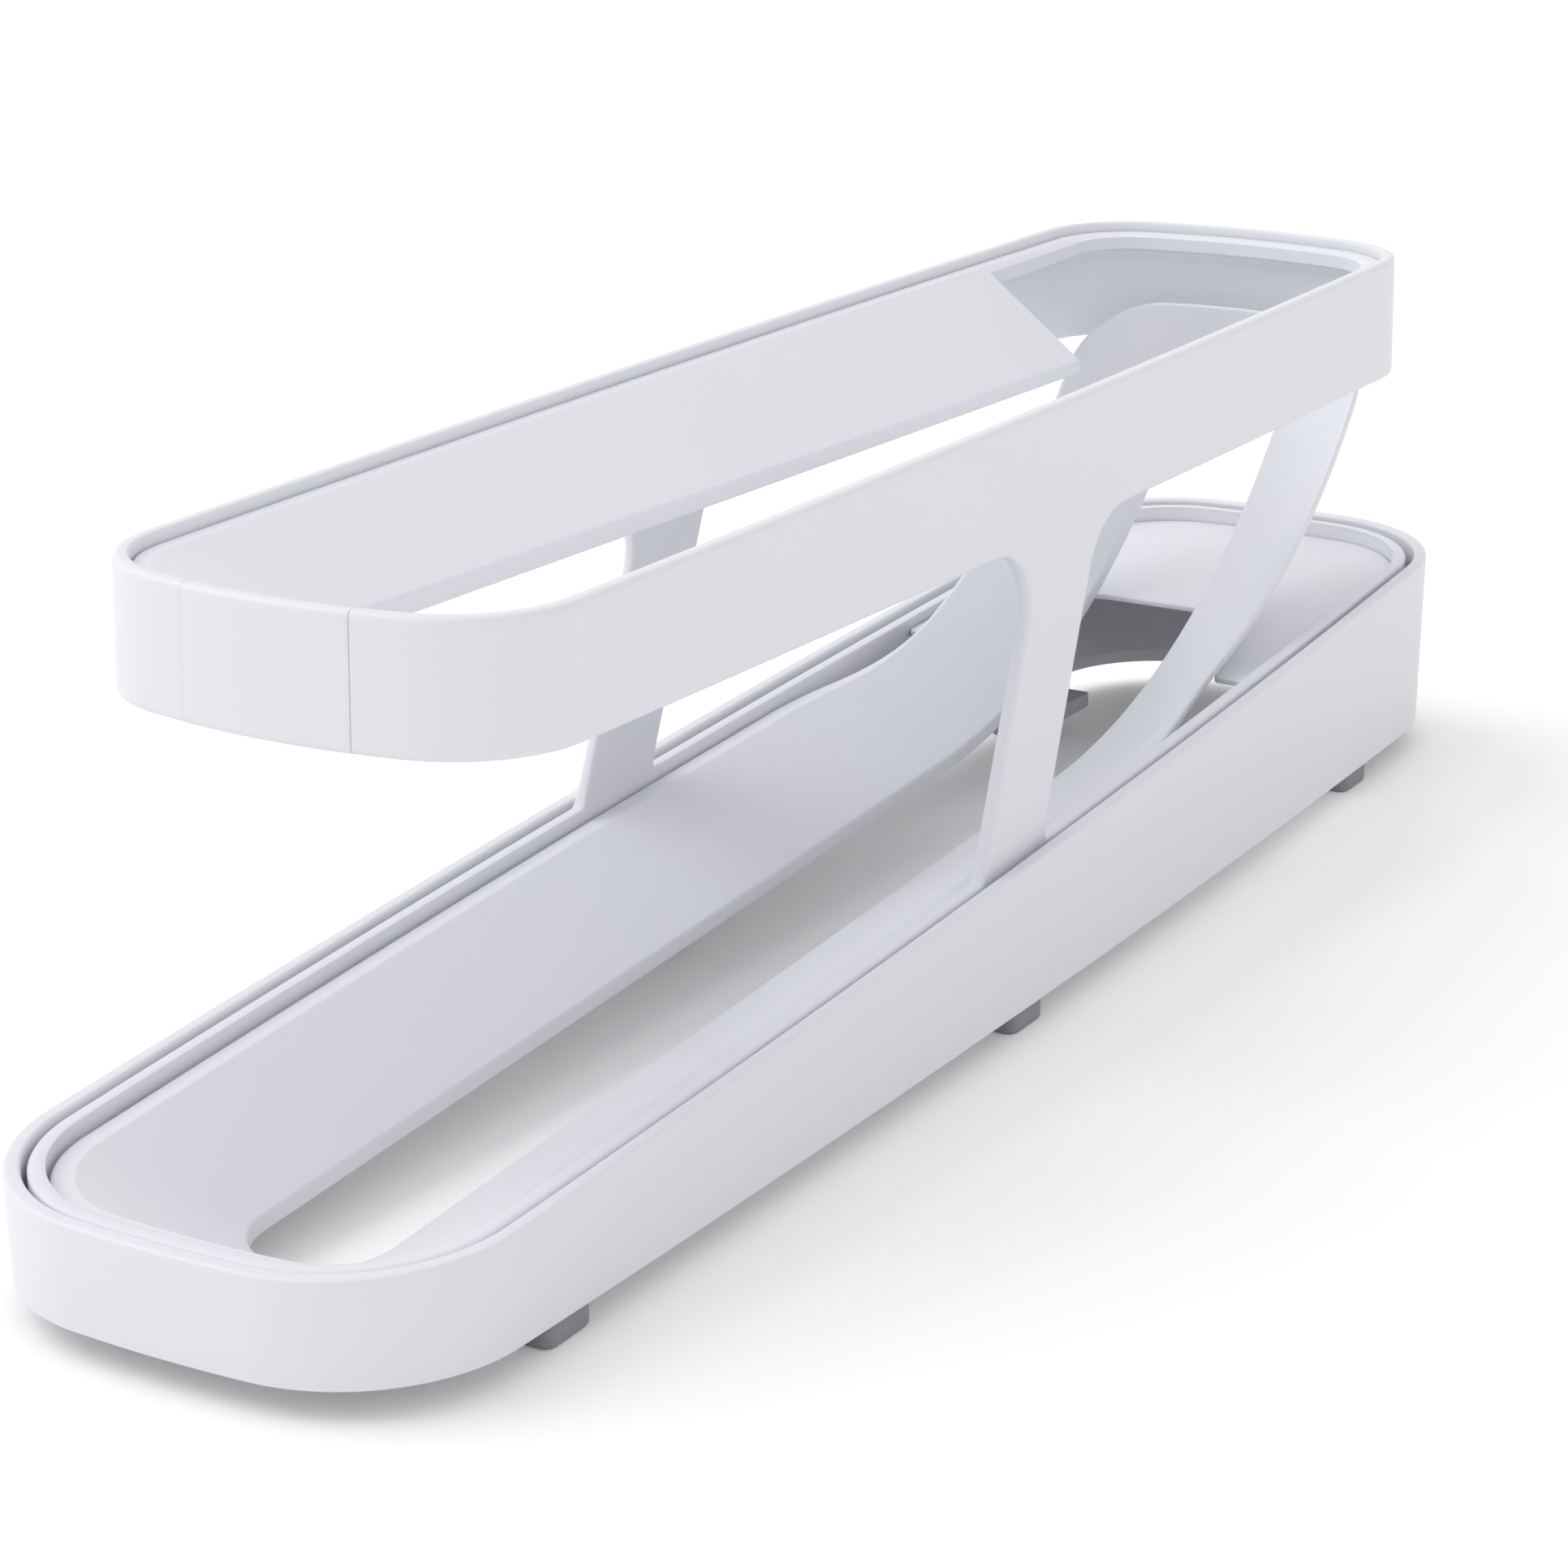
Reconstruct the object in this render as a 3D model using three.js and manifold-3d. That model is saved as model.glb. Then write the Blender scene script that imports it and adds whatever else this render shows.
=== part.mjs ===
// Two-tier rolling dispenser: a base wall on six feet, a frame with two bands and two posts,
// a lower trough that curls up at the rear as a ramp, and an upper trough that drops into the frame.
// Millimetres. X runs across, Y from the front to the rear, Z up from the table.
import * as THREE from 'three';
import { mergeVertices } from 'three/addons/utils/BufferGeometryUtils.js';
import Module from 'manifold-3d';

const wasm = await Module();
wasm.setup();

// Base wall
const footHeight = 5;
const baseLength = 400;
const baseWidth = 92.2;
const baseSideBow = 3.8;
const baseEndBow = 4.6;
const baseCornerRadius = 29.5;
const baseDraft = 0.45;
const baseWall = 2.3;
const baseFrontHeight = 17.1;
const baseRearHeight = 38.4;
const baseEdgeRound = 0.9;

// Clearances
const slipGap = 0.3;
const ringGap = 1.2;
const trackGap = 1.3;
const trayGap = 0.8;
const overrun = 2;

// Feet and the brackets that carry them
const footFrontReach = 44;
const footMiddleReach = 187.5;
const footRearReach = 56;
const footLength = 12;
const footWidth = 12;
const footInset = 1.9;
const footCornerRadius = 2.2;
const footEdgeRound = 0.9;
const stemRadius = 3.5;
const bracketThickness = 3.5;
const bracketLength = 18;
const bracketReach = 18;

// Frame: the lower ring, two posts and the upper band
const ringWall = 2.4;
const ringDrop = 0.5;
const ringTaper = 0.9;
const ringEdgeRound = 0.8;
const bandWidth = 81.8;
const bandLength = 347;
const bandSetback = 4.7;
const bandSideBow = 2.2;
const bandEndBow = 8.2;
const bandCornerRadius = 21.2;
const bandWall = 2;
const bandDraft = 0.45;
const bandTop = 109.5;
const bandFrontDepth = 20.9;
const bandRearDepth = 24.7;
const bandEdgeRound = 0.8;
const ledgeWidth = 1.8;
const ledgeThickness = 1.5;
const postWall = 2.6;
const postWidth = 23;
const postMidY = -4.4;
const postLean = 0.4;
const postFrontFillet = 11;
const postRearFillet = 14;
const postSink = 8;
const postRootShare = 0.25;
const ribThickness = 2;
const ribSpacing = 20;
const ribHeight = 7;

// Front plate that closes the upper band
const plateWidth = 29.5;
const tongueThickness = 1.3;
const tongueReach = 6;
const tongueHeight = 10;
const tongueDrop = 8.5;

// Lower trough and ramp
const slotWidth = 24;
const trackLip = 3.3;
const trackDrop = 2.7;
const trackDepth = 12.9;
const trackRim = 3.6;
const trackRimThickness = 1.8;
const trackEdgeRound = 0.4;
const trackSlotFront = 34;
const rampReach = 118.2;
const rampBackGap = 1.75;
const rampSlotDrop = 6.95;
const rampHeadLength = 11.8;
const rampRim = 0.7;
const rampNarrow = 7.2;
const headNarrow = 2.7;
const narrowPower = 1.5;
const rimFadeLength = 60;
const rimFadeSetback = 8;
const legLength = 14;
const legThickness = 3;
const underShare = 0.75;

// Rear deck behind the ramp
const deckDepth = 1.9;
const deckThickness = 2.5;
const deckSetback = 33.5;
const deckNotchWidth = 62;
const deckNotchLength = 40;
const deckNotchEndWidth = 31;
const deckNotchRound = 6;

// Upper trough
const trayDrop = 1.9;
const trayRim = 2.6;
const trayRimThickness = 2.2;
const trayEdgeRound = 0.8;
const trayFrontDepth = 10.6;
const trayRearDepth = 17.4;
const trayLip = 3;
const traySlotFront = 24;
const dropReach = 60.2;
const dropRimLeft = 1.5;

// Facets along the outlines and round edges
const shellSideSteps = 8;
const trackSideSteps = 18;
const cornerSteps = 8;
const endSteps = 5;
const edgeSteps = 3;
const stemSides = 20;
const headSamples = 60;

// Places worked out from the sizes above
const wallFoot = footHeight;
const baseSlope = (baseRearHeight - baseFrontHeight) / baseLength;
const slopeAngle = Math.atan(baseSlope);
const ringInset = baseWall + ringGap;
const ringInner = ringInset + ringWall;
const trackInset = ringInner + trackGap;
const bracketTop = wallFoot + bracketThickness;
const seatHeight = bracketTop + slipGap;
const bandFront = bandSetback - bandLength / 2;
const bandRear = bandSetback + bandLength / 2;
const trayInset = bandWall + trayGap;
const trayTop = bandTop - trayDrop;
const ledgeTop = trayTop - trayRimThickness - slipGap;
const footFront = footFrontReach - baseLength / 2;
const footMiddle = footMiddleReach - baseLength / 2;
const footRear = baseLength / 2 - footRearReach;
const footPlaces = [footFront, footMiddle, footRear];
const rampStart = bandRear - rampReach;
const deckFront = rampStart + deckSetback;
const dropStart = bandRear - dropReach;

const basePlan = {
  halfWidth: baseWidth / 2,
  halfLength: baseLength / 2,
  sideBow: baseSideBow,
  endBow: baseEndBow,
  cornerRadius: baseCornerRadius,
  centreY: 0,
  sideSteps: shellSideSteps,
};
const bandPlan = {
  halfWidth: bandWidth / 2,
  halfLength: bandLength / 2,
  sideBow: bandSideBow,
  endBow: bandEndBow,
  cornerRadius: bandCornerRadius,
  centreY: bandSetback,
  sideSteps: shellSideSteps,
};

// Heights of the sloping edges at a place along the object
function wallTop(y) {
  return wallFoot + baseFrontHeight + (y + baseLength / 2) * baseSlope;
}

function ringTop(y) {
  return wallTop(y) - ringDrop;
}

function bandBottom(y) {
  const share = (y - bandFront) / bandLength;
  return bandTop - THREE.MathUtils.lerp(bandFrontDepth, bandRearDepth, share);
}

function trayDepthAt(y) {
  const slotFront = bandFront + trayInset + traySlotFront;
  const share = (y - slotFront) / (dropStart - slotFront);
  return THREE.MathUtils.lerp(trayFrontDepth, trayRearDepth, share);
}

function baseHalfWidthAt(y) {
  const radius = bowRadius(baseLength / 2, baseSideBow);
  return baseWidth / 2 - radius + Math.sqrt(radius ** 2 - y ** 2);
}

// Radius of an arc that is half a chord long on each side and rises by the bow
function bowRadius(halfChord, bow) {
  return (halfChord ** 2 + bow ** 2) / (2 * bow);
}

// Where the circle of a rounded corner has its centre: it touches the side arc and the end arc
function cornerCentre(sideCentre, sideReach, endCentre, endReach) {
  const link = new THREE.Vector2().subVectors(endCentre, sideCentre);
  const distance = link.length();
  const along = (sideReach ** 2 - endReach ** 2 + distance ** 2) / (2 * distance);
  const across = Math.sqrt(sideReach ** 2 - along ** 2);
  const unit = link.divideScalar(distance);
  const foot = sideCentre.clone().addScaledVector(unit, along);
  const left = foot.clone().add(new THREE.Vector2(-unit.y, unit.x).multiplyScalar(across));
  const right = foot.clone().add(new THREE.Vector2(unit.y, -unit.x).multiplyScalar(across));
  return left.x > 0 && left.y > 0 ? left : right;
}

// Plan outline, anticlockwise: a rounded rectangle with swelling sides and ends, moved in by inset
function planOutline(plan, inset) {
  const sideRadius = bowRadius(plan.halfLength, plan.sideBow);
  const endRadius = bowRadius(plan.halfWidth, plan.endBow);
  const sideCentre = new THREE.Vector2(plan.halfWidth - sideRadius, 0);
  const endCentre = new THREE.Vector2(0, plan.halfLength - endRadius);
  const corner = cornerCentre(
    sideCentre, sideRadius - plan.cornerRadius, endCentre, endRadius - plan.cornerRadius);
  const sideAngle = corner.clone().sub(sideCentre).angle();
  const endAngle = corner.clone().sub(endCentre).angle();
  const quarter = [];
  const addArc = (centre, radius, from, to, steps) => {
    for (let step = 0; step < steps; step++) {
      const angle = THREE.MathUtils.lerp(from, to, step / steps);
      quarter.push([centre.x + radius * Math.cos(angle), centre.y + radius * Math.sin(angle)]);
    }
  };
  addArc(sideCentre, sideRadius - inset, 0, sideAngle, plan.sideSteps);
  addArc(corner, plan.cornerRadius - inset, sideAngle, endAngle, cornerSteps);
  addArc(endCentre, endRadius - inset, endAngle, Math.PI / 2, endSteps);
  const tip = [0, plan.halfLength - inset];
  const inner = quarter.slice(1);
  const widest = quarter[0];
  const points = [
    widest, ...inner, tip,
    ...inner.map(([x, y]) => [-x, y]).reverse(), [-widest[0], 0],
    ...inner.map(([x, y]) => [-x, -y]), [0, -tip[1]],
    ...inner.map(([x, y]) => [x, -y]).reverse(),
  ];
  return points.map(([x, y]) => [x, y + plan.centreY]);
}

// A closed loop of points over a plan outline, at a height that may follow y
function loopOver(plan, inset, height) {
  return planOutline(plan, inset).map(([x, y]) => {
    const z = typeof height === 'function' ? height(y) : height;
    return new THREE.Vector3(x, y, z);
  });
}

// A loop of the frame's lower ring, whose gap to the base wall widens toward the rear
function ringLoop(inset, height) {
  const front = loopOver(basePlan, ringInset + inset, height);
  const rear = loopOver(basePlan, ringInset + ringTaper + inset, height);
  return front.map((point, place) => {
    const share = (point.y + baseLength / 2) / baseLength;
    return point.lerp(rear[place], share);
  });
}

function geometryFromTriangles(points, triangles) {
  const geometry = new THREE.BufferGeometry();
  geometry.setAttribute('position', new THREE.Float32BufferAttribute(points.flatMap((p) => p.toArray()), 3));
  geometry.setIndex(triangles);
  return geometry;
}

function signedVolume(points, triangles) {
  let total = 0;
  const normal = new THREE.Vector3();
  for (let start = 0; start < triangles.length; start += 3) {
    const [a, b, c] = triangles.slice(start, start + 3).map((place) => points[place]);
    total += normal.crossVectors(b, c).dot(a);
  }
  return total;
}

function faceOutward(points, triangles) {
  if (signedVolume(points, triangles) < 0) triangles.reverse();
  return geometryFromTriangles(points, triangles);
}

function bandOfTriangles(lower, upper, count) {
  const triangles = [];
  for (let place = 0; place < count; place++) {
    const next = (place + 1) % count;
    triangles.push(lower + place, lower + next, upper + next, lower + place, upper + next, upper + place);
  }
  return triangles;
}

// A hoop: its section is a closed run of loops
function hoopFrom(loops) {
  const count = loops[0].length;
  const triangles = loops.flatMap((loop, row) =>
    bandOfTriangles(row * count, ((row + 1) % loops.length) * count, count));
  return faceOutward(loops.flat(), triangles);
}

// A solid stacked from loops, closed by flat ends
function stackFrom(loops) {
  const count = loops[0].length;
  const points = loops.flat();
  const triangles = [];
  for (let row = 0; row + 1 < loops.length; row++) {
    triangles.push(...bandOfTriangles(row * count, (row + 1) * count, count));
  }
  const top = (loops.length - 1) * count;
  for (let place = 1; place + 1 < count; place++) {
    triangles.push(0, place + 1, place, top, top + place, top + place + 1);
  }
  return faceOutward(points, triangles);
}

function solidFrom(geometry) {
  const bare = geometry.clone();
  bare.deleteAttribute('normal');
  bare.deleteAttribute('uv');
  const merged = mergeVertices(bare);
  return new wasm.Manifold(new wasm.Mesh({
    numProp: 3,
    vertProperties: new Float32Array(merged.attributes.position.array),
    triVerts: new Uint32Array(merged.index.array),
  }));
}

function geometryFrom(solid) {
  const mesh = solid.getMesh();
  const geometry = new THREE.BufferGeometry();
  geometry.setAttribute('position', new THREE.BufferAttribute(mesh.vertProperties, mesh.numProp));
  geometry.setIndex(new THREE.BufferAttribute(mesh.triVerts, 1));
  geometry.computeVertexNormals();
  return geometry;
}

// A box between two corners
function boxSolid(low, high) {
  const size = new THREE.Vector3().subVectors(high, low);
  const middle = new THREE.Vector3().addVectors(low, high).divideScalar(2);
  return solidFrom(new THREE.BoxGeometry(size.x, size.y, size.z).translate(...middle.toArray()));
}

// An upright prism over a list of plan points
function prismSolid(outline, bottom, top) {
  const loopAt = (z) => outline.map(([x, y]) => new THREE.Vector3(x, y, z));
  return solidFrom(stackFrom([loopAt(bottom), loopAt(top)]));
}

// Section of a wall's rounded top edge: pairs of inset and drop, from the outside to the inside
function roundedTop(wall, radius) {
  const section = [];
  for (let step = 0; step <= edgeSteps; step++) {
    const angle = (step / edgeSteps) * (Math.PI / 2);
    section.push([radius * (1 - Math.cos(angle)), radius * (1 - Math.sin(angle))]);
  }
  const inside = section.map(([inset, drop]) => [wall - inset, drop]).reverse();
  return [...section, ...inside];
}

// Base wall: the outer wall with six brackets inside its foot
function makeBaseRing() {
  const topLoops = roundedTop(baseWall, baseEdgeRound).map(([inset, drop]) =>
    loopOver(basePlan, inset, (y) => wallTop(y) - drop));
  let solid = solidFrom(hoopFrom([
    loopOver(basePlan, baseDraft, wallFoot),
    ...topLoops,
    loopOver(basePlan, baseWall + baseDraft, wallFoot),
  ]));
  for (const side of [1, -1]) {
    for (const y of footPlaces) {
      solid = solid.add(makeBracket(side, y)).subtract(makeStemHole(side, y));
    }
  }
  return geometryFrom(solid);
}

function makeBracket(side, y) {
  const outer = baseHalfWidthAt(y) - baseWall / 2;
  const edges = [side * outer, side * (outer - bracketReach)];
  return boxSolid(
    new THREE.Vector3(Math.min(...edges), y - bracketLength / 2, wallFoot),
    new THREE.Vector3(Math.max(...edges), y + bracketLength / 2, bracketTop));
}

function footCentreX(y) {
  return baseHalfWidthAt(y) - footInset - footWidth / 2;
}

function makeStemHole(side, y) {
  const drill = new THREE.CylinderGeometry(
    stemRadius + slipGap, stemRadius + slipGap, bracketThickness + 2 * overrun, stemSides);
  drill.rotateX(Math.PI / 2);
  drill.translate(side * footCentreX(y), y, wallFoot + bracketThickness / 2);
  return solidFrom(drill);
}

// Rubber foot: a rounded block with a stem that plugs into its bracket
function makeFoot(side, y) {
  const plan = {
    width: footWidth / 2,
    length: footLength / 2,
    x: side * footCentreX(y),
    y,
  };
  const top = wallFoot - slipGap;
  const block = solidFrom(stackFrom([
    roundedBlockLoop(plan, footEdgeRound, 0),
    roundedBlockLoop(plan, 0, footEdgeRound),
    roundedBlockLoop(plan, 0, top),
  ]));
  const stemTop = bracketTop - slipGap;
  const stem = new THREE.CylinderGeometry(stemRadius, stemRadius, stemTop - footEdgeRound, stemSides);
  stem.rotateX(Math.PI / 2);
  stem.translate(plan.x, y, (stemTop + footEdgeRound) / 2);
  return geometryFrom(block.add(solidFrom(stem)));
}

function roundedBlockLoop(plan, inset, z) {
  const radius = footCornerRadius - inset;
  const reachX = plan.width - footCornerRadius;
  const reachY = plan.length - footCornerRadius;
  const points = [];
  for (let quarter = 0; quarter < 4; quarter++) {
    const signX = quarter === 0 || quarter === 3 ? 1 : -1;
    const signY = quarter < 2 ? 1 : -1;
    for (let step = 0; step <= cornerSteps / 2; step++) {
      const angle = (quarter + step / (cornerSteps / 2)) * (Math.PI / 2);
      points.push(new THREE.Vector3(
        plan.x + signX * reachX + radius * Math.cos(angle),
        plan.y + signY * reachY + radius * Math.sin(angle), z));
    }
  }
  return points;
}

// Upper band as a whole hoop, with the ledge that carries the upper trough
function makeBandSolid() {
  const topLoops = roundedTop(bandWall, bandEdgeRound).map(([inset, drop]) =>
    loopOver(bandPlan, inset, bandTop - drop));
  return solidFrom(hoopFrom([
    loopOver(bandPlan, -bandDraft, bandBottom),
    ...topLoops,
    loopOver(bandPlan, bandWall, ledgeTop),
    loopOver(bandPlan, bandWall + ledgeWidth, ledgeTop),
    loopOver(bandPlan, bandWall + ledgeWidth, ledgeTop - ledgeThickness),
    loopOver(bandPlan, bandWall, ledgeTop - ledgeThickness - ledgeWidth),
    loopOver(bandPlan, bandWall - bandDraft, bandBottom),
  ]));
}

// Lower ring of the frame, which stands inside the base wall on the brackets
function makeLowerRing() {
  const topLoops = roundedTop(ringWall, ringEdgeRound).map(([inset, drop]) =>
    ringLoop(inset, (y) => ringTop(y) - drop));
  return solidFrom(hoopFrom([
    ringLoop(0, seatHeight),
    ...topLoops,
    ringLoop(ringWall, seatHeight),
  ]));
}

function deckTop(y) {
  return ringTop(y) - deckDepth;
}

// Shelf on the inside of the lower ring, under the rear deck
function makeDeckShelf() {
  const top = (y) => deckTop(y) - deckThickness - slipGap;
  const bottom = (y) => top(y) - ledgeThickness;
  const whole = solidFrom(hoopFrom([
    ringLoop(ringWall / 2, bottom),
    ringLoop(ringWall / 2, top),
    ringLoop(ringWall + ledgeWidth, top),
    ringLoop(ringWall + ledgeWidth, bottom),
  ]));
  const ahead = boxSolid(
    new THREE.Vector3(-baseWidth, -baseLength, 0),
    new THREE.Vector3(baseWidth, deckFront, bandTop));
  return whole.subtract(ahead);
}

// Outline with a rounded corner wherever a radius is given: entries are along, up and radius
function filletedShape(corners) {
  const shape = new THREE.Shape();
  const count = corners.length;
  corners.forEach(([along, up, radius], place) => {
    const here = new THREE.Vector2(along, up);
    const [beforeAlong, beforeUp] = corners[(place + count - 1) % count];
    const [afterAlong, afterUp] = corners[(place + 1) % count];
    const back = new THREE.Vector2(beforeAlong, beforeUp).sub(here).normalize();
    const ahead = new THREE.Vector2(afterAlong, afterUp).sub(here).normalize();
    const points = radius > 0 ? filletPoints(here, back, ahead, radius) : [here];
    for (const point of points) {
      if (place === 0) shape.moveTo(point.x, point.y);
      else shape.lineTo(point.x, point.y);
    }
  });
  return shape;
}

function filletPoints(corner, back, ahead, radius) {
  const halfAngle = Math.acos(back.dot(ahead)) / 2;
  const bisector = back.clone().add(ahead).normalize();
  const centre = corner.clone().addScaledVector(bisector, radius / Math.sin(halfAngle));
  const start = corner.clone().addScaledVector(back, radius / Math.tan(halfAngle)).sub(centre);
  const end = corner.clone().addScaledVector(ahead, radius / Math.tan(halfAngle)).sub(centre);
  const turn = Math.atan2(start.cross(end), start.dot(end));
  const points = [];
  for (let step = 0; step <= cornerSteps; step++) {
    const angle = (turn * step) / cornerSteps;
    points.push(start.clone().rotateAround(new THREE.Vector2(), angle).add(centre));
  }
  return points;
}

// Wall that leans in from the lower ring to the upper band, let into both at its ends
function makePostSleeve() {
  const shoulder = (y) => ringTop(y) - ringEdgeRound;
  const foot = (y) => ringTop(y) - postSink;
  const head = (y) => bandBottom(y) + postSink;
  return solidFrom(hoopFrom([
    ringLoop(ringWall * postRootShare, foot),
    ringLoop(0, shoulder),
    loopOver(bandPlan, -bandDraft, bandBottom),
    loopOver(bandPlan, bandWall * postRootShare, head),
    loopOver(bandPlan, bandWall * (1 - postRootShare), head),
    loopOver(bandPlan, postWall - bandDraft, bandBottom),
    ringLoop(postWall, shoulder),
    ringLoop(ringWall * (1 - postRootShare), foot),
  ]));
}

// The two posts: one leaning outline cut through that wall
function makePosts() {
  const bottom = ringTop(postMidY) - 2 * postSink;
  const mid = (ringTop(postMidY) + bandBottom(postMidY)) / 2;
  const edgeAt = (offset, z) => postMidY + offset + (z - mid) * postLean;
  const half = postWidth / 2;
  const under = bandBottom(postMidY);
  const spreadFront = postFrontFillet * 3;
  const spreadRear = postRearFillet * 2;
  const inBand = under + 2 * postSink;
  const frontTop = edgeAt(-half, bandBottom(edgeAt(-half, under)));
  const rearTop = edgeAt(half, bandBottom(edgeAt(half, under)));
  const shape = filletedShape([
    [edgeAt(-half, bottom), bottom, 0],
    [edgeAt(half, bottom), bottom, 0],
    [rearTop, bandBottom(rearTop), postRearFillet],
    [rearTop + spreadRear, bandBottom(rearTop + spreadRear), 0],
    [rearTop + spreadRear, inBand, 0],
    [frontTop - spreadFront, inBand, 0],
    [frontTop - spreadFront, bandBottom(frontTop - spreadFront), 0],
    [frontTop, bandBottom(frontTop), postFrontFillet],
  ]);
  const span = Math.max(baseWidth, bandWidth) + 2 * overrun;
  const slab = new THREE.ExtrudeGeometry(shape, { depth: span, bevelEnabled: false });
  slab.rotateX(Math.PI / 2);
  slab.rotateZ(Math.PI / 2);
  slab.translate(-span / 2, 0, 0);
  return makePostSleeve().intersect(solidFrom(slab));
}

// Two upright ribs inside the rear of the band, which back the head of the ramp
function makeRampRibs() {
  const back = bandRear - bandWall / 2;
  const low = bandBottom(bandRear);
  const head = rampPoint(rampEndStation, 0);
  const front = bandRear - bandWall - ribReach();
  return [1, -1].map((side) => boxSolid(
    new THREE.Vector3(side * ribSpacing / 2 - ribThickness / 2, front, low),
    new THREE.Vector3(side * ribSpacing / 2 + ribThickness / 2, back, Math.min(low + ribHeight, head.z))));
}

function plateBox(extra) {
  const half = plateWidth / 2 + extra;
  return boxSolid(
    new THREE.Vector3(-half, bandFront - overrun, 0),
    new THREE.Vector3(half, bandFront + bandCornerRadius, bandTop + overrun));
}

function makeFrame() {
  let solid = makeBandSolid().subtract(plateBox(slipGap / 2));
  solid = solid.add(makePosts()).add(makeLowerRing()).add(makeDeckShelf());
  for (const rib of makeRampRibs()) solid = solid.add(rib);
  return geometryFrom(solid);
}

// Front plate: the band's missing piece, with a tongue behind it that laps both ends of the band
function makeFrontPlate() {
  const high = bandTop - tongueDrop;
  const low = high - tongueHeight;
  const tongueHoop = (outer) => solidFrom(hoopFrom([
    loopOver(bandPlan, outer, low),
    loopOver(bandPlan, outer, high),
    loopOver(bandPlan, bandWall + slipGap + tongueThickness, high),
    loopOver(bandPlan, bandWall + slipGap + tongueThickness, low),
  ]));
  const lap = tongueHoop(bandWall + slipGap).intersect(plateBox(tongueReach));
  const root = tongueHoop(bandWall / 2).intersect(plateBox(-slipGap));
  return geometryFrom(makeBandSolid().intersect(plateBox(-slipGap / 2)).add(lap).add(root));
}

// Height of the slot's edge along the straight stretch
function slotLevel(y) {
  return wallTop(y) - trackDrop - trackDepth / Math.cos(slopeAngle);
}

// The ramp's arc: it leaves the straight stretch without a kink, and the lip at the slot's rear end
// stops short of the band's rear wall and lies under the band's lower edge
function rampArc() {
  const startY = rampStart + trackLip * Math.sin(slopeAngle);
  const startZ = slotLevel(rampStart) - trackLip * Math.cos(slopeAngle);
  const endY = bandRear - bandWall - rampBackGap;
  const endZ = bandBottom(bandRear) - rampSlotDrop;
  const turn = 2 * (Math.atan2(endZ - startZ, endY - startY) - slopeAngle);
  const chord = Math.hypot(endY - startY, endZ - startZ);
  return { turn, radius: chord / (2 * Math.sin(turn / 2)) - trackLip };
}

const { turn: rampTurn, radius: rampRadius } = rampArc();

// Stations are lengths along the slot's edge: straight along the trough, then up the arc
const rampStartStation = rampStart / Math.cos(slopeAngle);
const slotEndStation = rampStartStation + rampRadius * rampTurn;
const rampEndStation = slotEndStation + rampHeadLength;

function pathAt(station) {
  if (station <= rampStartStation) {
    const y = station * Math.cos(slopeAngle);
    return { y, z: slotLevel(y), angle: slopeAngle };
  }
  const angle = slopeAngle + (station - rampStartStation) / rampRadius;
  return {
    y: rampStart + rampRadius * (Math.sin(angle) - Math.sin(slopeAngle)),
    z: slotLevel(rampStart) + rampRadius * (Math.cos(slopeAngle) - Math.cos(angle)),
    angle,
  };
}

// A place on the bent trough: across, along the path, and square to the path
function rampPoint(station, rise, x = 0) {
  const { y, z, angle } = pathAt(station);
  return new THREE.Vector3(x, y - rise * Math.sin(angle), z + rise * Math.cos(angle));
}

// How far a rib must reach from the band's rear wall to meet the back of the ramp's head
function ribReach() {
  const low = bandBottom(bandRear);
  let back = -Infinity;
  for (let step = 0; step <= headSamples; step++) {
    const share = step / headSamples;
    const station = THREE.MathUtils.lerp(slotEndStation, rampEndStation, share);
    const rise = THREE.MathUtils.lerp(-trackLip, trackDepth - trackRimThickness, share);
    const point = rampPoint(station, rise);
    if (point.z > low) back = Math.max(back, point.y);
  }
  return bandRear - bandWall - back - slipGap;
}

const frontStation = (trackInset - baseLength / 2) / Math.cos(slopeAngle);
const trackPlan = {
  halfWidth: baseWidth / 2,
  halfLength: (rampEndStation - frontStation) / 2 + trackInset,
  sideBow: baseSideBow,
  endBow: baseEndBow,
  cornerRadius: baseCornerRadius,
  centreY: (rampEndStation + frontStation) / 2,
  sideSteps: trackSideSteps,
};

// The slot's outline: each outline point is drawn in to the slot's straight edge or round end
function slotOutline(outline, frontCentre, rearCentre) {
  const radius = slotWidth / 2;
  return outline.map(([x, y]) => {
    const centre = THREE.MathUtils.clamp(y, frontCentre, rearCentre);
    if (centre === y) return [Math.sign(x) * radius, y];
    const toward = new THREE.Vector2(x, y - centre).setLength(radius);
    return [toward.x, centre + toward.y];
  });
}

// How far the trough has turned into the ramp at a station, from 0 to 1
function rampShare(station) {
  const middle = rampStartStation + rimFadeSetback;
  return THREE.MathUtils.smoothstep(station, middle - rimFadeLength / 2, middle + rimFadeLength / 2);
}

// How far the rim's outer edge draws in from the trough's outline: most at the foot of the ramp
function narrowAt(station) {
  const climb = (station - rampStartStation) / (rampEndStation - rampStartStation);
  const low = (1 - THREE.MathUtils.clamp(climb, 0, 1)) ** narrowPower;
  return THREE.MathUtils.lerp(headNarrow, rampNarrow, low) * rampShare(station);
}

function rimWidthAt(station) {
  return THREE.MathUtils.lerp(trackRim, rampRim, rampShare(station));
}

// Outline of the trough at a share of its rim
function trackLoop(share, extra, rise) {
  const outer = planOutline(trackPlan, trackInset);
  const inner = planOutline(trackPlan, trackInset + trackRim);
  return outer.map(([x, station], place) => {
    const amount = (narrowAt(station) + rimWidthAt(station) * share + extra) / trackRim;
    const [innerX, innerStation] = inner[place];
    return rampPoint(
      THREE.MathUtils.lerp(station, innerStation, amount), rise, THREE.MathUtils.lerp(x, innerX, amount));
  });
}

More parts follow.
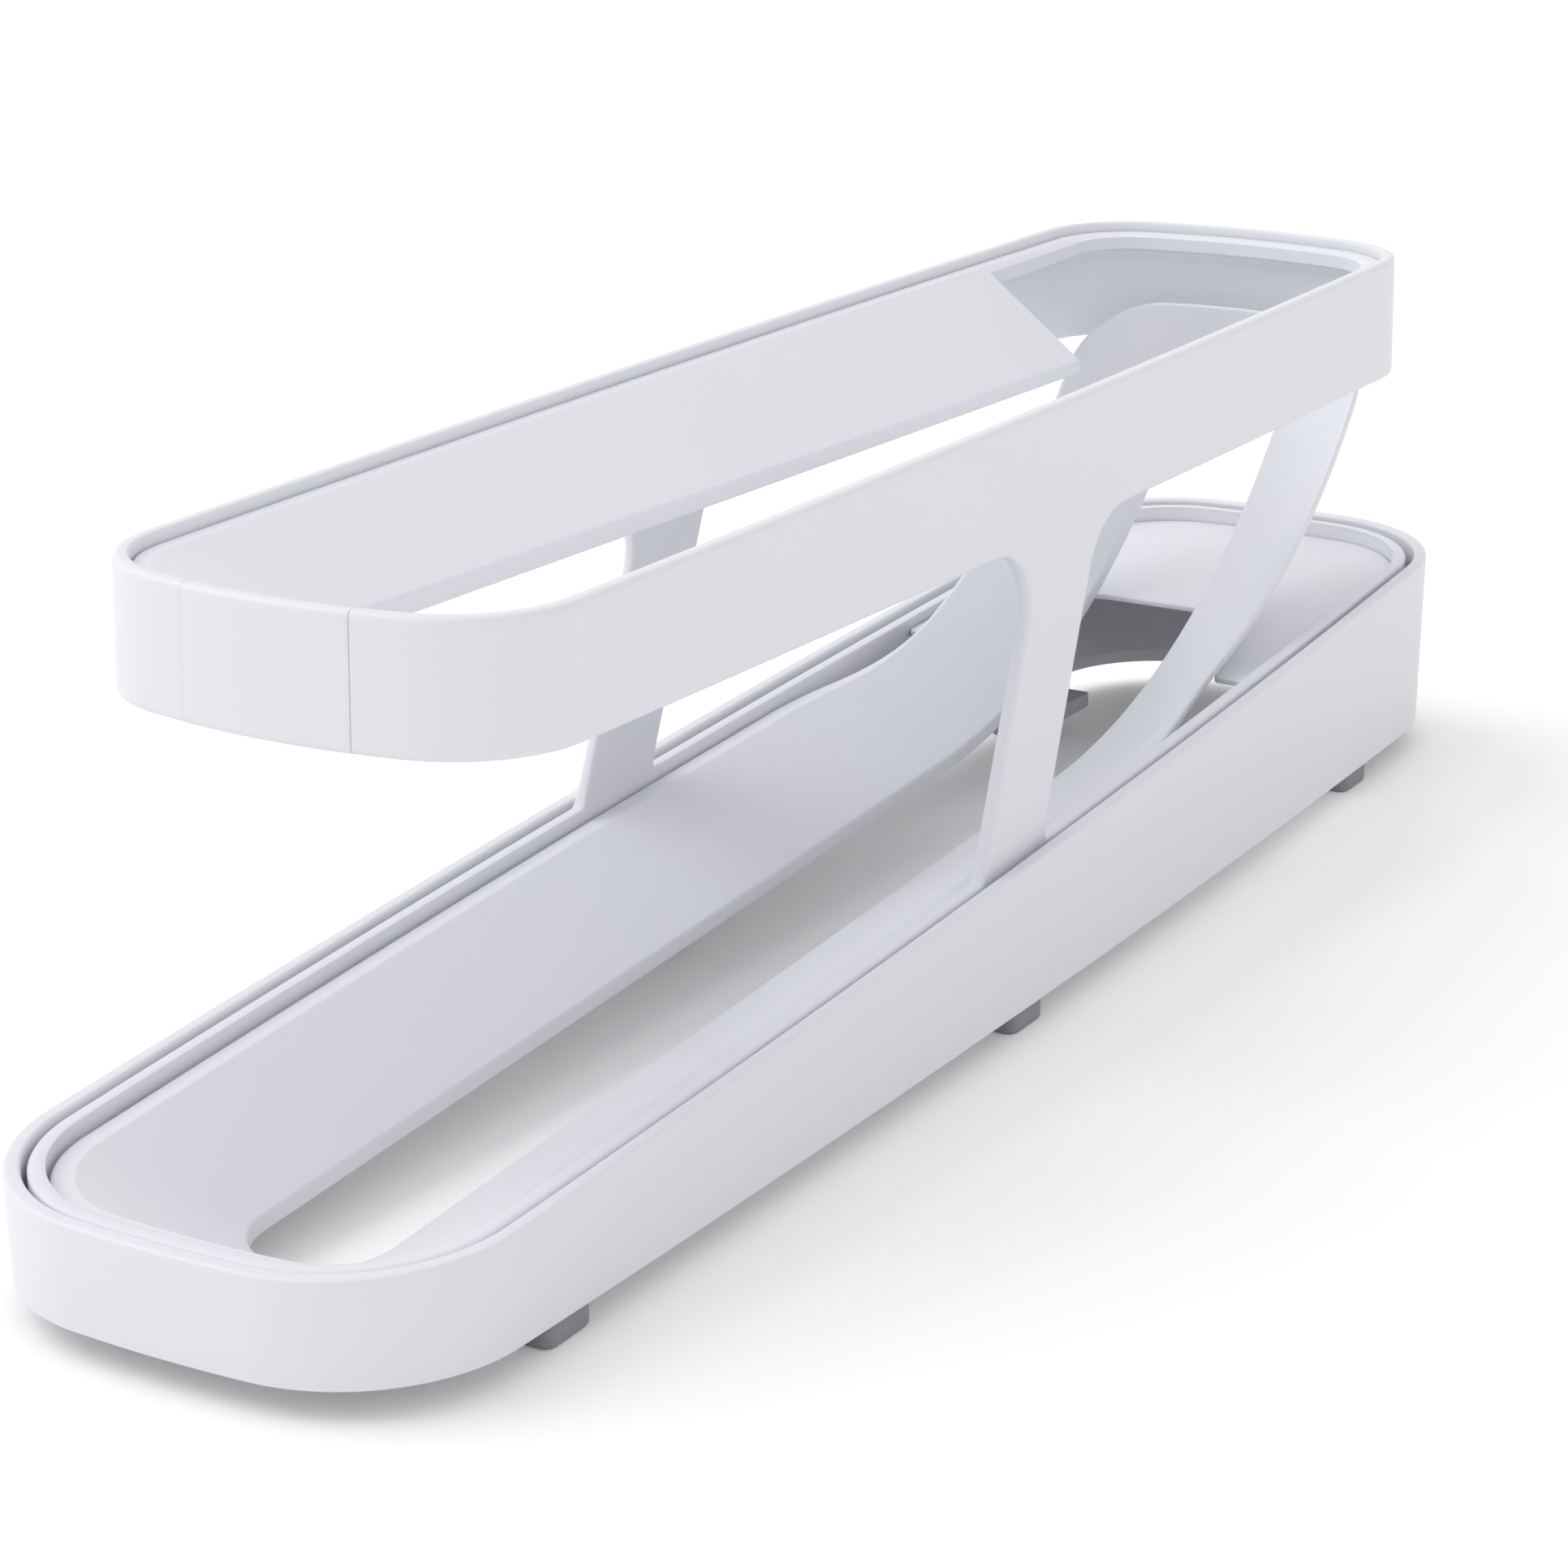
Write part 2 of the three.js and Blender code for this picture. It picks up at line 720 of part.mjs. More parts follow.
function trackSlotLoop(rise) {
  const rearCentre = slotEndStation - slotWidth / 2;
  const frontCentre = frontStation + trackSlotFront;
  const outline = planOutline(trackPlan, trackInset + trackRim);
  return slotOutline(outline, frontCentre, rearCentre).map(([x, station]) => rampPoint(station, rise, x));
}

function makeLowerTrack() {
  let solid = solidFrom(hoopFrom([
    trackLoop(0, 0, trackDepth - trackRimThickness),
    trackLoop(0, 0, trackDepth - trackEdgeRound),
    trackLoop(0, trackEdgeRound, trackDepth),
    trackLoop(1, 0, trackDepth),
    trackSlotLoop(0),
    trackSlotLoop(-trackLip),
    trackLoop(underShare, 0, trackDepth - trackRimThickness),
  ]));
  for (const side of [1, -1]) {
    for (const y of footPlaces.slice(0, 2)) solid = solid.add(makeTrackLeg(side, y));
  }
  return geometryFrom(solid);
}

// Leg under the rim of the trough, standing on a bracket
function makeTrackLeg(side, y) {
  const outer = baseHalfWidthAt(y) - trackInset - trackEdgeRound;
  const edges = [side * outer, side * (outer - legThickness)];
  const top = wallTop(y - legLength / 2) - trackDrop - trackRimThickness / 2;
  return boxSolid(
    new THREE.Vector3(Math.min(...edges), y - legLength / 2, seatHeight),
    new THREE.Vector3(Math.max(...edges), y + legLength / 2, top));
}

// Rear deck: a plate inside the lower ring, notched where the ramp passes through
function makeRearDeck() {
  const plate = solidFrom(stackFrom([
    ringLoop(ringWall + slipGap, (y) => deckTop(y) - deckThickness),
    ringLoop(ringWall + slipGap, deckTop),
  ]));
  const ahead = boxSolid(
    new THREE.Vector3(-baseWidth, -baseLength, 0),
    new THREE.Vector3(baseWidth, deckFront, bandTop));
  const notchEnd = deckFront + deckNotchLength;
  const notch = filletedShape([
    [-deckNotchWidth / 2, deckFront - overrun, 0],
    [deckNotchWidth / 2, deckFront - overrun, 0],
    [deckNotchWidth / 2, deckFront, 0],
    [deckNotchEndWidth / 2, notchEnd, deckNotchRound],
    [-deckNotchEndWidth / 2, notchEnd, deckNotchRound],
    [-deckNotchWidth / 2, deckFront, 0],
  ]);
  const notchSolid = solidFrom(new THREE.ExtrudeGeometry(notch, { depth: bandTop, bevelEnabled: false }));
  return geometryFrom(plate.subtract(ahead).subtract(notchSolid));
}

// Upper trough: a rim that rests on the band's ledge, slopes down to a slot, and a drop opening
function makeUpperTray() {
  const rim = planOutline(bandPlan, trayInset + trayRim);
  const frontCentre = bandFront + trayInset + traySlotFront + slotWidth / 2;
  const slotLoop = (drop) => slotOutline(rim, frontCentre, dropStart).map(([x, y]) =>
    new THREE.Vector3(x, y, trayTop - trayDepthAt(y) - drop));
  const under = trayInset + trayRim * underShare;
  const bowl = solidFrom(hoopFrom([
    loopOver(bandPlan, trayInset, trayTop - trayRimThickness),
    loopOver(bandPlan, trayInset, trayTop - trayEdgeRound),
    loopOver(bandPlan, trayInset + trayEdgeRound, trayTop),
    loopOver(bandPlan, trayInset + trayRim, trayTop),
    slotLoop(0),
    slotLoop(trayLip),
    loopOver(bandPlan, under, trayTop - trayRimThickness),
  ]));
  const opening = prismSolid(
    planOutline(bandPlan, trayInset + trayRim + dropRimLeft), wallFoot, bandTop + overrun);
  const ahead = boxSolid(
    new THREE.Vector3(-baseWidth, -baseLength, 0),
    new THREE.Vector3(baseWidth, dropStart, bandTop + 2 * overrun));
  return geometryFrom(bowl.subtract(opening.subtract(ahead)));
}

// Materials
const whitePlastic = new THREE.MeshStandardMaterial({ color: 0xdcdde2, roughness: 0.45, metalness: 0 });
const greyRubber = new THREE.MeshStandardMaterial({ color: 0x76767c, roughness: 0.75, metalness: 0 });

const group = new THREE.Group();

function addPiece(name, geometry, material) {
  const mesh = new THREE.Mesh(geometry, material);
  mesh.name = name;
  group.add(mesh);
}

addPiece('base_ring', makeBaseRing(), whitePlastic);
addPiece('frame', makeFrame(), whitePlastic);
addPiece('front_plate', makeFrontPlate(), whitePlastic);
addPiece('lower_track', makeLowerTrack(), whitePlastic);
addPiece('rear_deck', makeRearDeck(), whitePlastic);
addPiece('upper_tray', makeUpperTray(), whitePlastic);

const sideNames = [['right', 1], ['left', -1]];
const placeNames = ['front', 'middle', 'rear'];
for (const [sideName, side] of sideNames) {
  footPlaces.forEach((y, place) => {
    addPiece(`foot_${placeNames[place]}_${sideName}`, makeFoot(side, y), greyRubber);
  });
}

export default group;
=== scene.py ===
import math

import bmesh
import bpy
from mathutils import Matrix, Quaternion, Vector
from mathutils.geometry import delaunay_2d_cdt
from mathutils.kdtree import KDTree


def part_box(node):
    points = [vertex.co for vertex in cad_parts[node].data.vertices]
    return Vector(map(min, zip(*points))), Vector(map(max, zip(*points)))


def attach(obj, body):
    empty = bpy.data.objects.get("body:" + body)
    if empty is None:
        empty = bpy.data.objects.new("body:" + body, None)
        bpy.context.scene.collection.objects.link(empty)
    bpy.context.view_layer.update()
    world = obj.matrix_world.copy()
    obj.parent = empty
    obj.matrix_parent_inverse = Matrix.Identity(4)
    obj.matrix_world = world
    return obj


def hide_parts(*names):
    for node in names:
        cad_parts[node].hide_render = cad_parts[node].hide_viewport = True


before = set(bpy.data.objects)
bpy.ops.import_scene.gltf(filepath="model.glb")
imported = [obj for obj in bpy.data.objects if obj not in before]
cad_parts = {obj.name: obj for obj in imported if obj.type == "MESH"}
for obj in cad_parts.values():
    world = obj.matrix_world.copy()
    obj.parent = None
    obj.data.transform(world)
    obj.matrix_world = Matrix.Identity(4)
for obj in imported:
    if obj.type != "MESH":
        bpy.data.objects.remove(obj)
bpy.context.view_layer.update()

# Two-tier rolling dispenser in white moulded plastic. Sizes are in millimetres until a mesh is made.
# X runs across, Y from the front to the rear, Z up from the table.
mm = 0.001
overlap = 0.4  # how far a joined form reaches into its neighbour
overrun = 1  # how far a hidden end stands past a face, or short of it
roundSteps = 5  # facets across a rounded edge


def boxOf(node):
    low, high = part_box(node)
    return low / mm, high / mm


def newObject(name, data):
    made = bpy.data.objects.new(name, data)
    bpy.context.scene.collection.objects.link(made)
    return made


baseLow, baseHigh = boxOf("base_ring")
frameLow, frameHigh = boxOf("frame")
trayTop = boxOf("upper_tray")[1].z
feet = sorted(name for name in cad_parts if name.startswith("foot_"))
footPlaces = [Vector(((low.x + high.x) / 2, (low.y + high.y) / 2, low.z))
              for low, high in map(boxOf, feet)]


# Camera, where the photographer stood

cameraView = {
    "azimuth": 30.312,  # degrees round from the front towards the right side
    "elevation": 18.122,
    "roll": -0.045,
    "lens": 87.58,
    "sensor": 36,
    "place": (323.9, -576.9, 250.9),
}


def makeCamera(view):
    camera = newObject("camera", bpy.data.cameras.new("camera"))
    camera.data.lens = view["lens"]
    camera.data.sensor_width = view["sensor"]
    camera.location = Vector(view["place"]) * mm
    pan = Quaternion((0, 0, 1), math.radians(view["azimuth"]))
    tilt = Quaternion((1, 0, 0), math.radians(90 - view["elevation"]))
    roll = Quaternion((0, 0, 1), math.radians(view["roll"]))
    camera.rotation_mode = "QUATERNION"
    camera.rotation_quaternion = pan @ tilt @ roll
    bpy.context.scene.camera = camera


makeCamera(cameraView)
print("camera placed")


# Nodes, for materials and geometry trees alike

def setInputs(tree, node, inputs):
    for key, value in inputs.items():
        if isinstance(value, bpy.types.NodeSocket):
            tree.links.new(value, node.inputs[key])
        else:
            node.inputs[key].default_value = value


def addNode(tree, kind, inputs=None, **settings):
    node = tree.nodes.new(kind)
    for name, value in settings.items():
        setattr(node, name, value)
    setInputs(tree, node, inputs or {})
    return node


def linear(hexColour):
    # the sRGB curve, from a written colour to light
    channels = [int(hexColour[place:place + 2], 16) / 255 for place in (1, 3, 5)]
    return [c / 12.92 if c <= 0.04045 else ((c + 0.055) / 1.055) ** 2.4 for c in channels] + [1]


def newMaterial(name):
    material = bpy.data.materials.new(name)
    material.use_nodes = True
    tree = material.node_tree
    return material, tree, tree.nodes["Principled BSDF"]


def noiseOf(tree, sizeInMm, detail=2):
    place = addNode(tree, "ShaderNodeTexCoord").outputs["Object"]
    return addNode(tree, "ShaderNodeTexNoise", {
        "Vector": place, "Scale": 1 / (sizeInMm * mm), "Detail": detail}).outputs["Fac"]


def mixColours(tree, share, a, b):
    # a Mix node keeps its colour sockets at 6, 7 and, on the way out, 2
    blend = addNode(tree, "ShaderNodeMix", {0: share, 6: linear(a), 7: linear(b)}, data_type="RGBA")
    return blend.outputs[2]


def bumpOf(tree, height, depthInMm, **under):
    return addNode(tree, "ShaderNodeBump", {
        "Height": height, "Strength": 1.0, "Distance": depthInMm * mm, **under}).outputs["Normal"]


# White polypropylene, injection moulded and satin: a soft even sheen, with a faint lavender cast,
# a shallow sink waviness that bends the reflections a little, and a very fine spark-eroded grain.

satinPolypropylene = {
    "colour": "#ecebf1",
    "cast": "#e8ebf0",  # cooler patches, hand-sized
    "castSize": 70,
    "roughness": 0.42,
    "roughnessSpread": 0.05,
    "sinkSize": 24,
    "sinkDepth": 0.03,
    "grainSize": 0.5,  # the real grain is about 0.1 mm, drawn coarser so that it shows
    "grainDepth": 0.004,
    "ior": 1.49,
    "scatter": 0.06,
    "scatterRadius": 2.5,
}


def makePolypropylene(name, look):
    material, tree, shader = newMaterial(name)
    colour = mixColours(tree, noiseOf(tree, look["castSize"]), look["colour"], look["cast"])
    sheen = addNode(tree, "ShaderNodeMapRange", {
        "Value": noiseOf(tree, look["sinkSize"]),
        "To Min": look["roughness"] - look["roughnessSpread"],
        "To Max": look["roughness"] + look["roughnessSpread"]})
    sink = bumpOf(tree, noiseOf(tree, look["sinkSize"], detail=0), look["sinkDepth"])
    grain = bumpOf(tree, noiseOf(tree, look["grainSize"]), look["grainDepth"], Normal=sink)
    setInputs(tree, shader, {
        "Base Color": colour, "Roughness": sheen.outputs["Result"], "Normal": grain,
        "IOR": look["ior"], "Subsurface Weight": look["scatter"],
        "Subsurface Radius": (look["scatterRadius"] * mm,) * 3})
    return material


# Grey thermoplastic rubber, moulded against a blasted tool: dull, slightly speckled, no highlight.

blastedRubber = {
    "colour": "#97969d",
    "speck": "#8c8b92",
    "speckSize": 0.8,
    "roughness": 0.72,
    "grainSize": 0.6,
    "grainDepth": 0.02,
    "ior": 1.5,
}


def makeRubber(name, look):
    material, tree, shader = newMaterial(name)
    specks = noiseOf(tree, look["speckSize"], detail=4)
    colour = mixColours(tree, specks, look["colour"], look["speck"])
    grain = bumpOf(tree, noiseOf(tree, look["grainSize"]), look["grainDepth"])
    setInputs(tree, shader, {
        "Base Color": colour, "Roughness": look["roughness"], "Normal": grain, "IOR": look["ior"]})
    return material


whitePlastic = makePolypropylene("satinMouldedPolypropylene", satinPolypropylene)
greyRubber = makeRubber("blastedGreyRubber", blastedRubber)
print("materials made")


# Plan outlines: rounded rectangles whose sides and ends swell. A reach is a length along the
# outline, measured from the middle of the right side, towards the rear if it is positive.

def bowRadius(halfChord, bow):
    return (halfChord ** 2 + bow ** 2) / (2 * bow)


def cornerCentre(sideCentre, sideReach, endCentre, endReach):
    link = endCentre - sideCentre
    along = (sideReach ** 2 - endReach ** 2 + link.length_squared) / (2 * link.length)
    across = math.sqrt(sideReach ** 2 - along ** 2)
    unit = link.normalized()
    return sideCentre + unit * along + Vector((-unit.y, unit.x)) * across


def makePlan(halfWidth, halfLength, centreY, sideBow, endBow, cornerRadius):
    sideRadius = bowRadius(halfLength, sideBow)
    endRadius = bowRadius(halfWidth, endBow)
    sideCentre = Vector((halfWidth - sideRadius, 0))
    endCentre = Vector((0, halfLength - endRadius))
    corner = cornerCentre(sideCentre, sideRadius - cornerRadius, endCentre, endRadius - cornerRadius)
    sideTurn = math.atan2(corner.y - sideCentre.y, corner.x - sideCentre.x)
    endTurn = math.atan2(corner.y - endCentre.y, corner.x - endCentre.x)
    arcs = [
        (sideCentre, sideRadius, 0, sideTurn),
        (corner, cornerRadius, sideTurn, endTurn),
        (endCentre, endRadius, endTurn, math.pi / 2),
    ]
    spans = [radius * (end - start) for centre, radius, start, end in arcs]
    return {"arcs": arcs, "spans": spans, "tip": sum(spans), "centreY": centreY}


def pointAlong(plan, reach, inset):
    left = min(abs(reach), plan["tip"])
    for (centre, radius, start, end), span in zip(plan["arcs"], plan["spans"]):
        if left <= span or span == plan["spans"][-1]:
            break
        left -= span
    turn = start + left / radius
    x = centre.x + (radius - inset) * math.cos(turn)
    y = centre.y + (radius - inset) * math.sin(turn)
    return Vector((0 if abs(reach) >= plan["tip"] else x, plan["centreY"] + math.copysign(y, reach)))


def reachesOf(plan, counts):
    # from the front tip round the right side to the rear tip
    quarter, before = [], 0
    for span, count in zip(plan["spans"], counts):
        quarter += [before + span * step / count for step in range(count)]
        before += span
    quarter.append(plan["tip"])
    return [-reach for reach in reversed(quarter[1:])] + quarter


def mix(a, b, share):
    return a + (b - a) * share


def smooth(share):
    share = max(0, min(1, share))
    return share * share * (3 - 2 * share)


# Meshes

mergeWithin = 0.002
sliverWithin = 0.001
mostOfSide = 0.49  # the share of a side that one fillet may take
leastLength = 0.01
nearlyStraight = math.radians(89.5)


def meshOf(shape, name):
    mesh = bpy.data.meshes.new(name)
    shape.to_mesh(mesh)
    shape.free()
    return mesh


def meshFrom(name, points, faces):
    # points are in millimetres; doubles are merged and the faces turned outwards
    shape = bmesh.new()
    corners = [shape.verts.new(Vector(point) * mm) for point in points]
    for face in faces:
        shape.faces.new([corners[place] for place in face])
    bmesh.ops.remove_doubles(shape, verts=shape.verts, dist=mergeWithin * mm)
    bmesh.ops.dissolve_degenerate(shape, edges=shape.edges, dist=sliverWithin * mm)
    bmesh.ops.recalc_face_normals(shape, faces=shape.faces)
    return meshOf(shape, name)


def joined(name, meshes):
    shape = bmesh.new()
    for mesh in meshes:
        shape.from_mesh(mesh)
        bpy.data.meshes.remove(mesh)
    return meshOf(shape, name)


def mirroredRows(rows):
    # the left half of a loft, on the way back from the rear
    return [[Vector((-p.x, p.y, p.z)) for p in row] for row in reversed(rows)]


def loftMesh(name, rows, closed=True):
    # rows of points that run the same way round; a closed loft is a hoop, an open one has flat ends
    count, faces = len(rows[0]), []
    for row in range(len(rows) if closed else len(rows) - 1):
        here, there = row * count, (row + 1) % len(rows) * count
        for place in range(count):
            after = (place + 1) % count
            faces.append((here + place, here + after, there + after, there + place))
    if not closed:
        faces.append(tuple(range(count)))
        faces.append(tuple(reversed(range((len(rows) - 1) * count, len(rows) * count))))
    return meshFrom(name, [point for row in rows for point in row], faces)


def roundedBox(name, low, high, edgeRound, steps=3):
    shape = bmesh.new()
    bmesh.ops.create_cube(shape, size=1)
    for vert in shape.verts:
        vert.co = Vector([mix(low[axis], high[axis], vert.co[axis] + 0.5) for axis in range(3)]) * mm
    bmesh.ops.bevel(
        shape, geom=shape.edges, offset=edgeRound * mm, segments=steps, profile=0.5, affect="EDGES")
    bmesh.ops.recalc_face_normals(shape, faces=shape.faces)
    return meshOf(shape, name)


def filletPoints(before, here, after, radius, steps):
    # the arc that rounds a corner; a corner too short or too flat for one keeps its point
    back, ahead = before - here, after - here
    reach = min(back.length, ahead.length) * mostOfSide
    if min(reach, radius) < leastLength:
        return [here] * (steps + 1)
    back.normalize()
    ahead.normalize()
    half = math.acos(max(-1, min(1, back.dot(ahead)))) / 2
    if half > nearlyStraight:
        return [here] * (steps + 1)
    radius = min(radius, reach * math.tan(half))
    centre = here + (back + ahead).normalized() * (radius / math.sin(half))
    start = here + back * (radius / math.tan(half)) - centre
    end = here + ahead * (radius / math.tan(half)) - centre
    turn = math.atan2(start.x * end.y - start.y * end.x, start.dot(end))
    points = []
    for step in range(steps + 1):
        angle = turn * step / steps
        points.append(centre + Vector((
            start.x * math.cos(angle) - start.y * math.sin(angle),
            start.x * math.sin(angle) + start.y * math.cos(angle))))
    return points


def roundedSection(corners, steps=roundSteps):
    # a closed outline in a plane, each corner given as (across, up, radius)
    places = [Vector(corner[:2]) for corner in corners]
    section = []
    for place, corner in enumerate(corners):
        after = places[(place + 1) % len(places)]
        section += filletPoints(places[place - 1], places[place], after, corner[2], steps)
    return section


# A wall or plate cut to an outline, with all its edges rounded. The chains are the edges of its
# right half, as (u, v, radius), with the material on their left; they end on the mirror plane.

def chainRows(chain, steps, margin):
    places = [Vector(point[:2]) for point in chain]
    sides = [Vector((a.y - b.y, b.x - a.x)).normalized() for a, b in zip(places, places[1:])]
    normals = [(a + b) / (1 + a.dot(b)) for a, b in zip(sides, sides[1:])]  # mitred
    normals = [Vector((0, math.copysign(1, side.y))) for side in sides[:1]] + normals
    normals.append(Vector((0, math.copysign(1, sides[-1].y))))
    rows = []
    for step in range(steps + 1):
        turn = math.pi / 2 * step / steps
        rows.append([
            (*(p + n * (point[2] * (1 - math.cos(turn)))), point[2] * (1 - math.sin(turn)))
            for p, n, point in zip(places, normals, chain)])
    rows.append([(*(p + n * (point[2] + margin)), 0) for p, n, point in zip(places, normals, chain)])
    return rows


def insideOf(polygon, u, v):
    inside = False
    for (ua, va), (ub, vb) in zip(polygon, polygon[1:] + polygon[:1]):
        if (va > v) != (vb > v) and u < ua + (ub - ua) * (v - va) / (vb - va):
            inside = not inside
    return inside


def roundedPlate(name, chains, place, fillPoints, steps=4, margin=0.5, clear=0.6):
    points, faces, polygon = [], [], []

    def addStrip(lower, upper):
        start = len(points)
        points.extend(lower + upper)
        count = len(lower)
        for step in range(count - 1):
            a, b = start + step, start + step + 1
            faces.append((a, b, b + count, a + count))

    for chain in chains:
        rows = chainRows(chain, steps, margin)
        sides = [
            [[place(u, v, side, depth) for u, v, depth in row] for row in rows]
            for side in (0, 1)]
        for side in sides:
            for lower, upper in zip(side, side[1:]):
                addStrip(lower, upper)
        addStrip(sides[0][0], sides[1][0])
        polygon += [(u, v) for u, v, depth in rows[-1]]

    corners = [Vector(p) for p in polygon]
    count = len(corners)
    nearby = KDTree(count)
    for step, corner in enumerate(corners):
        nearby.insert(corner.to_3d(), step)
    nearby.balance()
    for u, v in fillPoints:
        if nearby.find((u, v, 0))[2] > clear and insideOf(polygon, u, v):
            corners.append(Vector((u, v)))
    edges = [(step, (step + 1) % count) for step in range(count)]
    insideOnly, tolerance = 1, 1e-6
    found = delaunay_2d_cdt(corners, edges, [list(range(count))], insideOnly, tolerance)
    for side in (0, 1):
        start = len(points)
        points.extend(place(corner.x, corner.y, side, 0) for corner in found[0])
        faces.extend([start + corner for corner in face] for face in found[2])

    count = len(points)
    points.extend([Vector((-p.x, p.y, p.z)) for p in points])
    faces.extend([[count + corner for corner in face] for face in faces])
    return meshFrom(name, points, faces)


# Pieces

sharpAbove = math.radians(38)  # moulded rounds stay smooth, cut corners stay crisp


def linkPiece(name, mesh, material, body, nodes):
    piece = newObject(name, mesh)
    if not mesh.materials:
        mesh.materials.append(material)
    mesh.polygons.foreach_set("use_smooth", [True] * len(mesh.polygons))
    mesh.set_sharp_from_angle(angle=sharpAbove)
    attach(piece, body)
    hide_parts(*nodes)


def evaluatedMesh(piece, name):
    # the piece's mesh with its modifiers carried out; the piece itself goes
    depsgraph = bpy.context.evaluated_depsgraph_get()
    mesh = bpy.data.meshes.new_from_object(piece.evaluated_get(depsgraph))
    mesh.name = name
    piece.modifiers.clear()
    bpy.data.objects.remove(piece)
    return mesh


def carved(name, mesh, tool, operation):
    # joins two closed meshes, or cuts one with the other
    piece, cutter = newObject("blank", mesh), newObject("tool", tool)
    modifier = piece.modifiers.new("carve", "BOOLEAN")
    modifier.operation, modifier.solver, modifier.object = operation, "EXACT", cutter
    result = evaluatedMesh(piece, name)
    bpy.data.objects.remove(cutter)
    return result


def runTree(name, mesh, tree, inputs):
    piece = newObject(name, mesh)
    modifier = piece.modifiers.new(name, "NODES")
    modifier.node_group = tree
    for item in tree.interface.items_tree:
        if item.name in inputs:
            modifier[item.identifier] = inputs[item.name]
    return evaluatedMesh(piece, name)


def makeTree(name, sizes, objects=()):
    # a geometry tree with named inputs: sizes in metres or as ratios, objects and a material
    tree = bpy.data.node_groups.new(name, "GeometryNodeTree")
    tree.interface.new_socket("Geometry", in_out="OUTPUT", socket_type="NodeSocketGeometry")
    given = [("Geometry", "Geometry")] + [(size, "Float") for size in sizes]
    given += [(one, "Object") for one in objects] + [("Material", "Material")]
    for item, kind in given:
        tree.interface.new_socket(item, in_out="INPUT", socket_type="NodeSocket" + kind)
    return tree, tree.nodes.new("NodeGroupInput")


def finishTree(tree, given, shape):
    # instances become plain mesh and take their material
    real = addNode(tree, "GeometryNodeRealizeInstances", {"Geometry": shape})
    dressed = addNode(tree, "GeometryNodeSetMaterial", {
        "Geometry": real.outputs[0], "Material": given.outputs["Material"]})
    result = tree.nodes.new("NodeGroupOutput")
    tree.links.new(dressed.outputs[0], result.inputs[0])
    return tree


# Base moulding: the wall, with six brackets inside its foot that carry the feet and the frame

baseWall = {
    "sideBow": 3.8,
    "endBow": 4.6,
    "cornerRadius": 29.5,
    "frontHeight": 17.1,
    "rearHeight": 38.4,
    "wall": 2.6,
    "draft": 0.45,
    "rimRound": 0.6,
    "footRound": 0.35,
    "steps": (60, 28, 16),
    "bracketReach": 18,
    "bracketLength": 18,
    "bracketThickness": 3.5,
    "bracketRound": 0.5,
    "stemHole": 3.8,
    "holeShift": 2.25,
}

wallFoot = baseLow.z
basePlan = makePlan(
    baseHigh.x, baseHigh.y, 0, baseWall["sideBow"], baseWall["endBow"], baseWall["cornerRadius"])
baseSlope = (baseWall["rearHeight"] - baseWall["frontHeight"]) / (baseHigh.y - baseLow.y)
slopeTurn = math.atan(baseSlope)


def wallTop(y):
    return wallFoot + baseWall["frontHeight"] + (y - baseLow.y) * baseSlope


def wallHalfWidth(y):
    centre, radius = basePlan["arcs"][0][:2]
    return centre.x + math.sqrt(radius ** 2 - y ** 2)


def sweepTree():
    # draws the wall's section along its outline, then lifts the top to the slope
    tree, given = makeTree("wallSweep", (
        "Wall", "Height", "Draft", "Rim Round", "Foot Round", "Slope", "Slope Start"))
    size = given.outputs

    def maths(operation, a, b):
        return addNode(tree, "ShaderNodeMath", {0: a, 1: b}, operation=operation).outputs[0]

    def partsOf(place):
        return addNode(tree, "ShaderNodeSeparateXYZ", {0: place}).outputs

    place = addNode(tree, "GeometryNodeInputPosition").outputs[0]
    section = addNode(tree, "GeometryNodeCurvePrimitiveQuadrilateral", {
        "Width": size["Wall"], "Height": size["Height"]}, mode="RECTANGLE")
    low = maths("LESS_THAN", partsOf(place)["Y"], 0.0)
    lean = maths("ADD", maths("MULTIPLY", size["Wall"], 0.5), maths("MULTIPLY", size["Draft"], low))
    shift = addNode(tree, "ShaderNodeCombineXYZ", {
        "X": lean, "Y": maths("MULTIPLY", size["Height"], 0.5)})
    moved = addNode(tree, "GeometryNodeSetPosition", {
        "Geometry": section.outputs["Curve"], "Offset": shift.outputs[0]})
    upper = maths("GREATER_THAN", partsOf(place)["Y"], maths("MULTIPLY", size["Height"], 0.5))
    radius = addNode(tree, "ShaderNodeMix", {
        "Factor": upper, "A": size["Foot Round"], "B": size["Rim Round"]})
    rounded = addNode(tree, "GeometryNodeFilletCurve", {
        "Curve": moved.outputs[0], "Count": roundSteps, "Radius": radius.outputs[0]}, mode="POLY")
    turned = addNode(tree, "GeometryNodeTransform", {
        "Geometry": rounded.outputs[0], "Rotation": (0, 0, math.pi)})
    path = addNode(tree, "GeometryNodeMeshToCurve", {"Mesh": size["Geometry"]})
    level = addNode(tree, "GeometryNodeSetCurveNormal", {"Curve": path.outputs[0]}, mode="Z_UP")
    swept = addNode(tree, "GeometryNodeCurveToMesh", {
        "Curve": level.outputs[0], "Profile Curve": turned.outputs[0]})
    at = partsOf(place)
    rise = maths("MULTIPLY", maths("SUBTRACT", at["Y"], size["Slope Start"]), size["Slope"])
    top = maths("GREATER_THAN", at["Z"], maths("MULTIPLY", size["Height"], 0.5))
    lift = addNode(tree, "ShaderNodeCombineXYZ", {"Z": maths("MULTIPLY", rise, top)})
    sloped = addNode(tree, "GeometryNodeSetPosition", {
        "Geometry": swept.outputs[0], "Offset": lift.outputs[0]})
    return finishTree(tree, given, sloped.outputs[0])


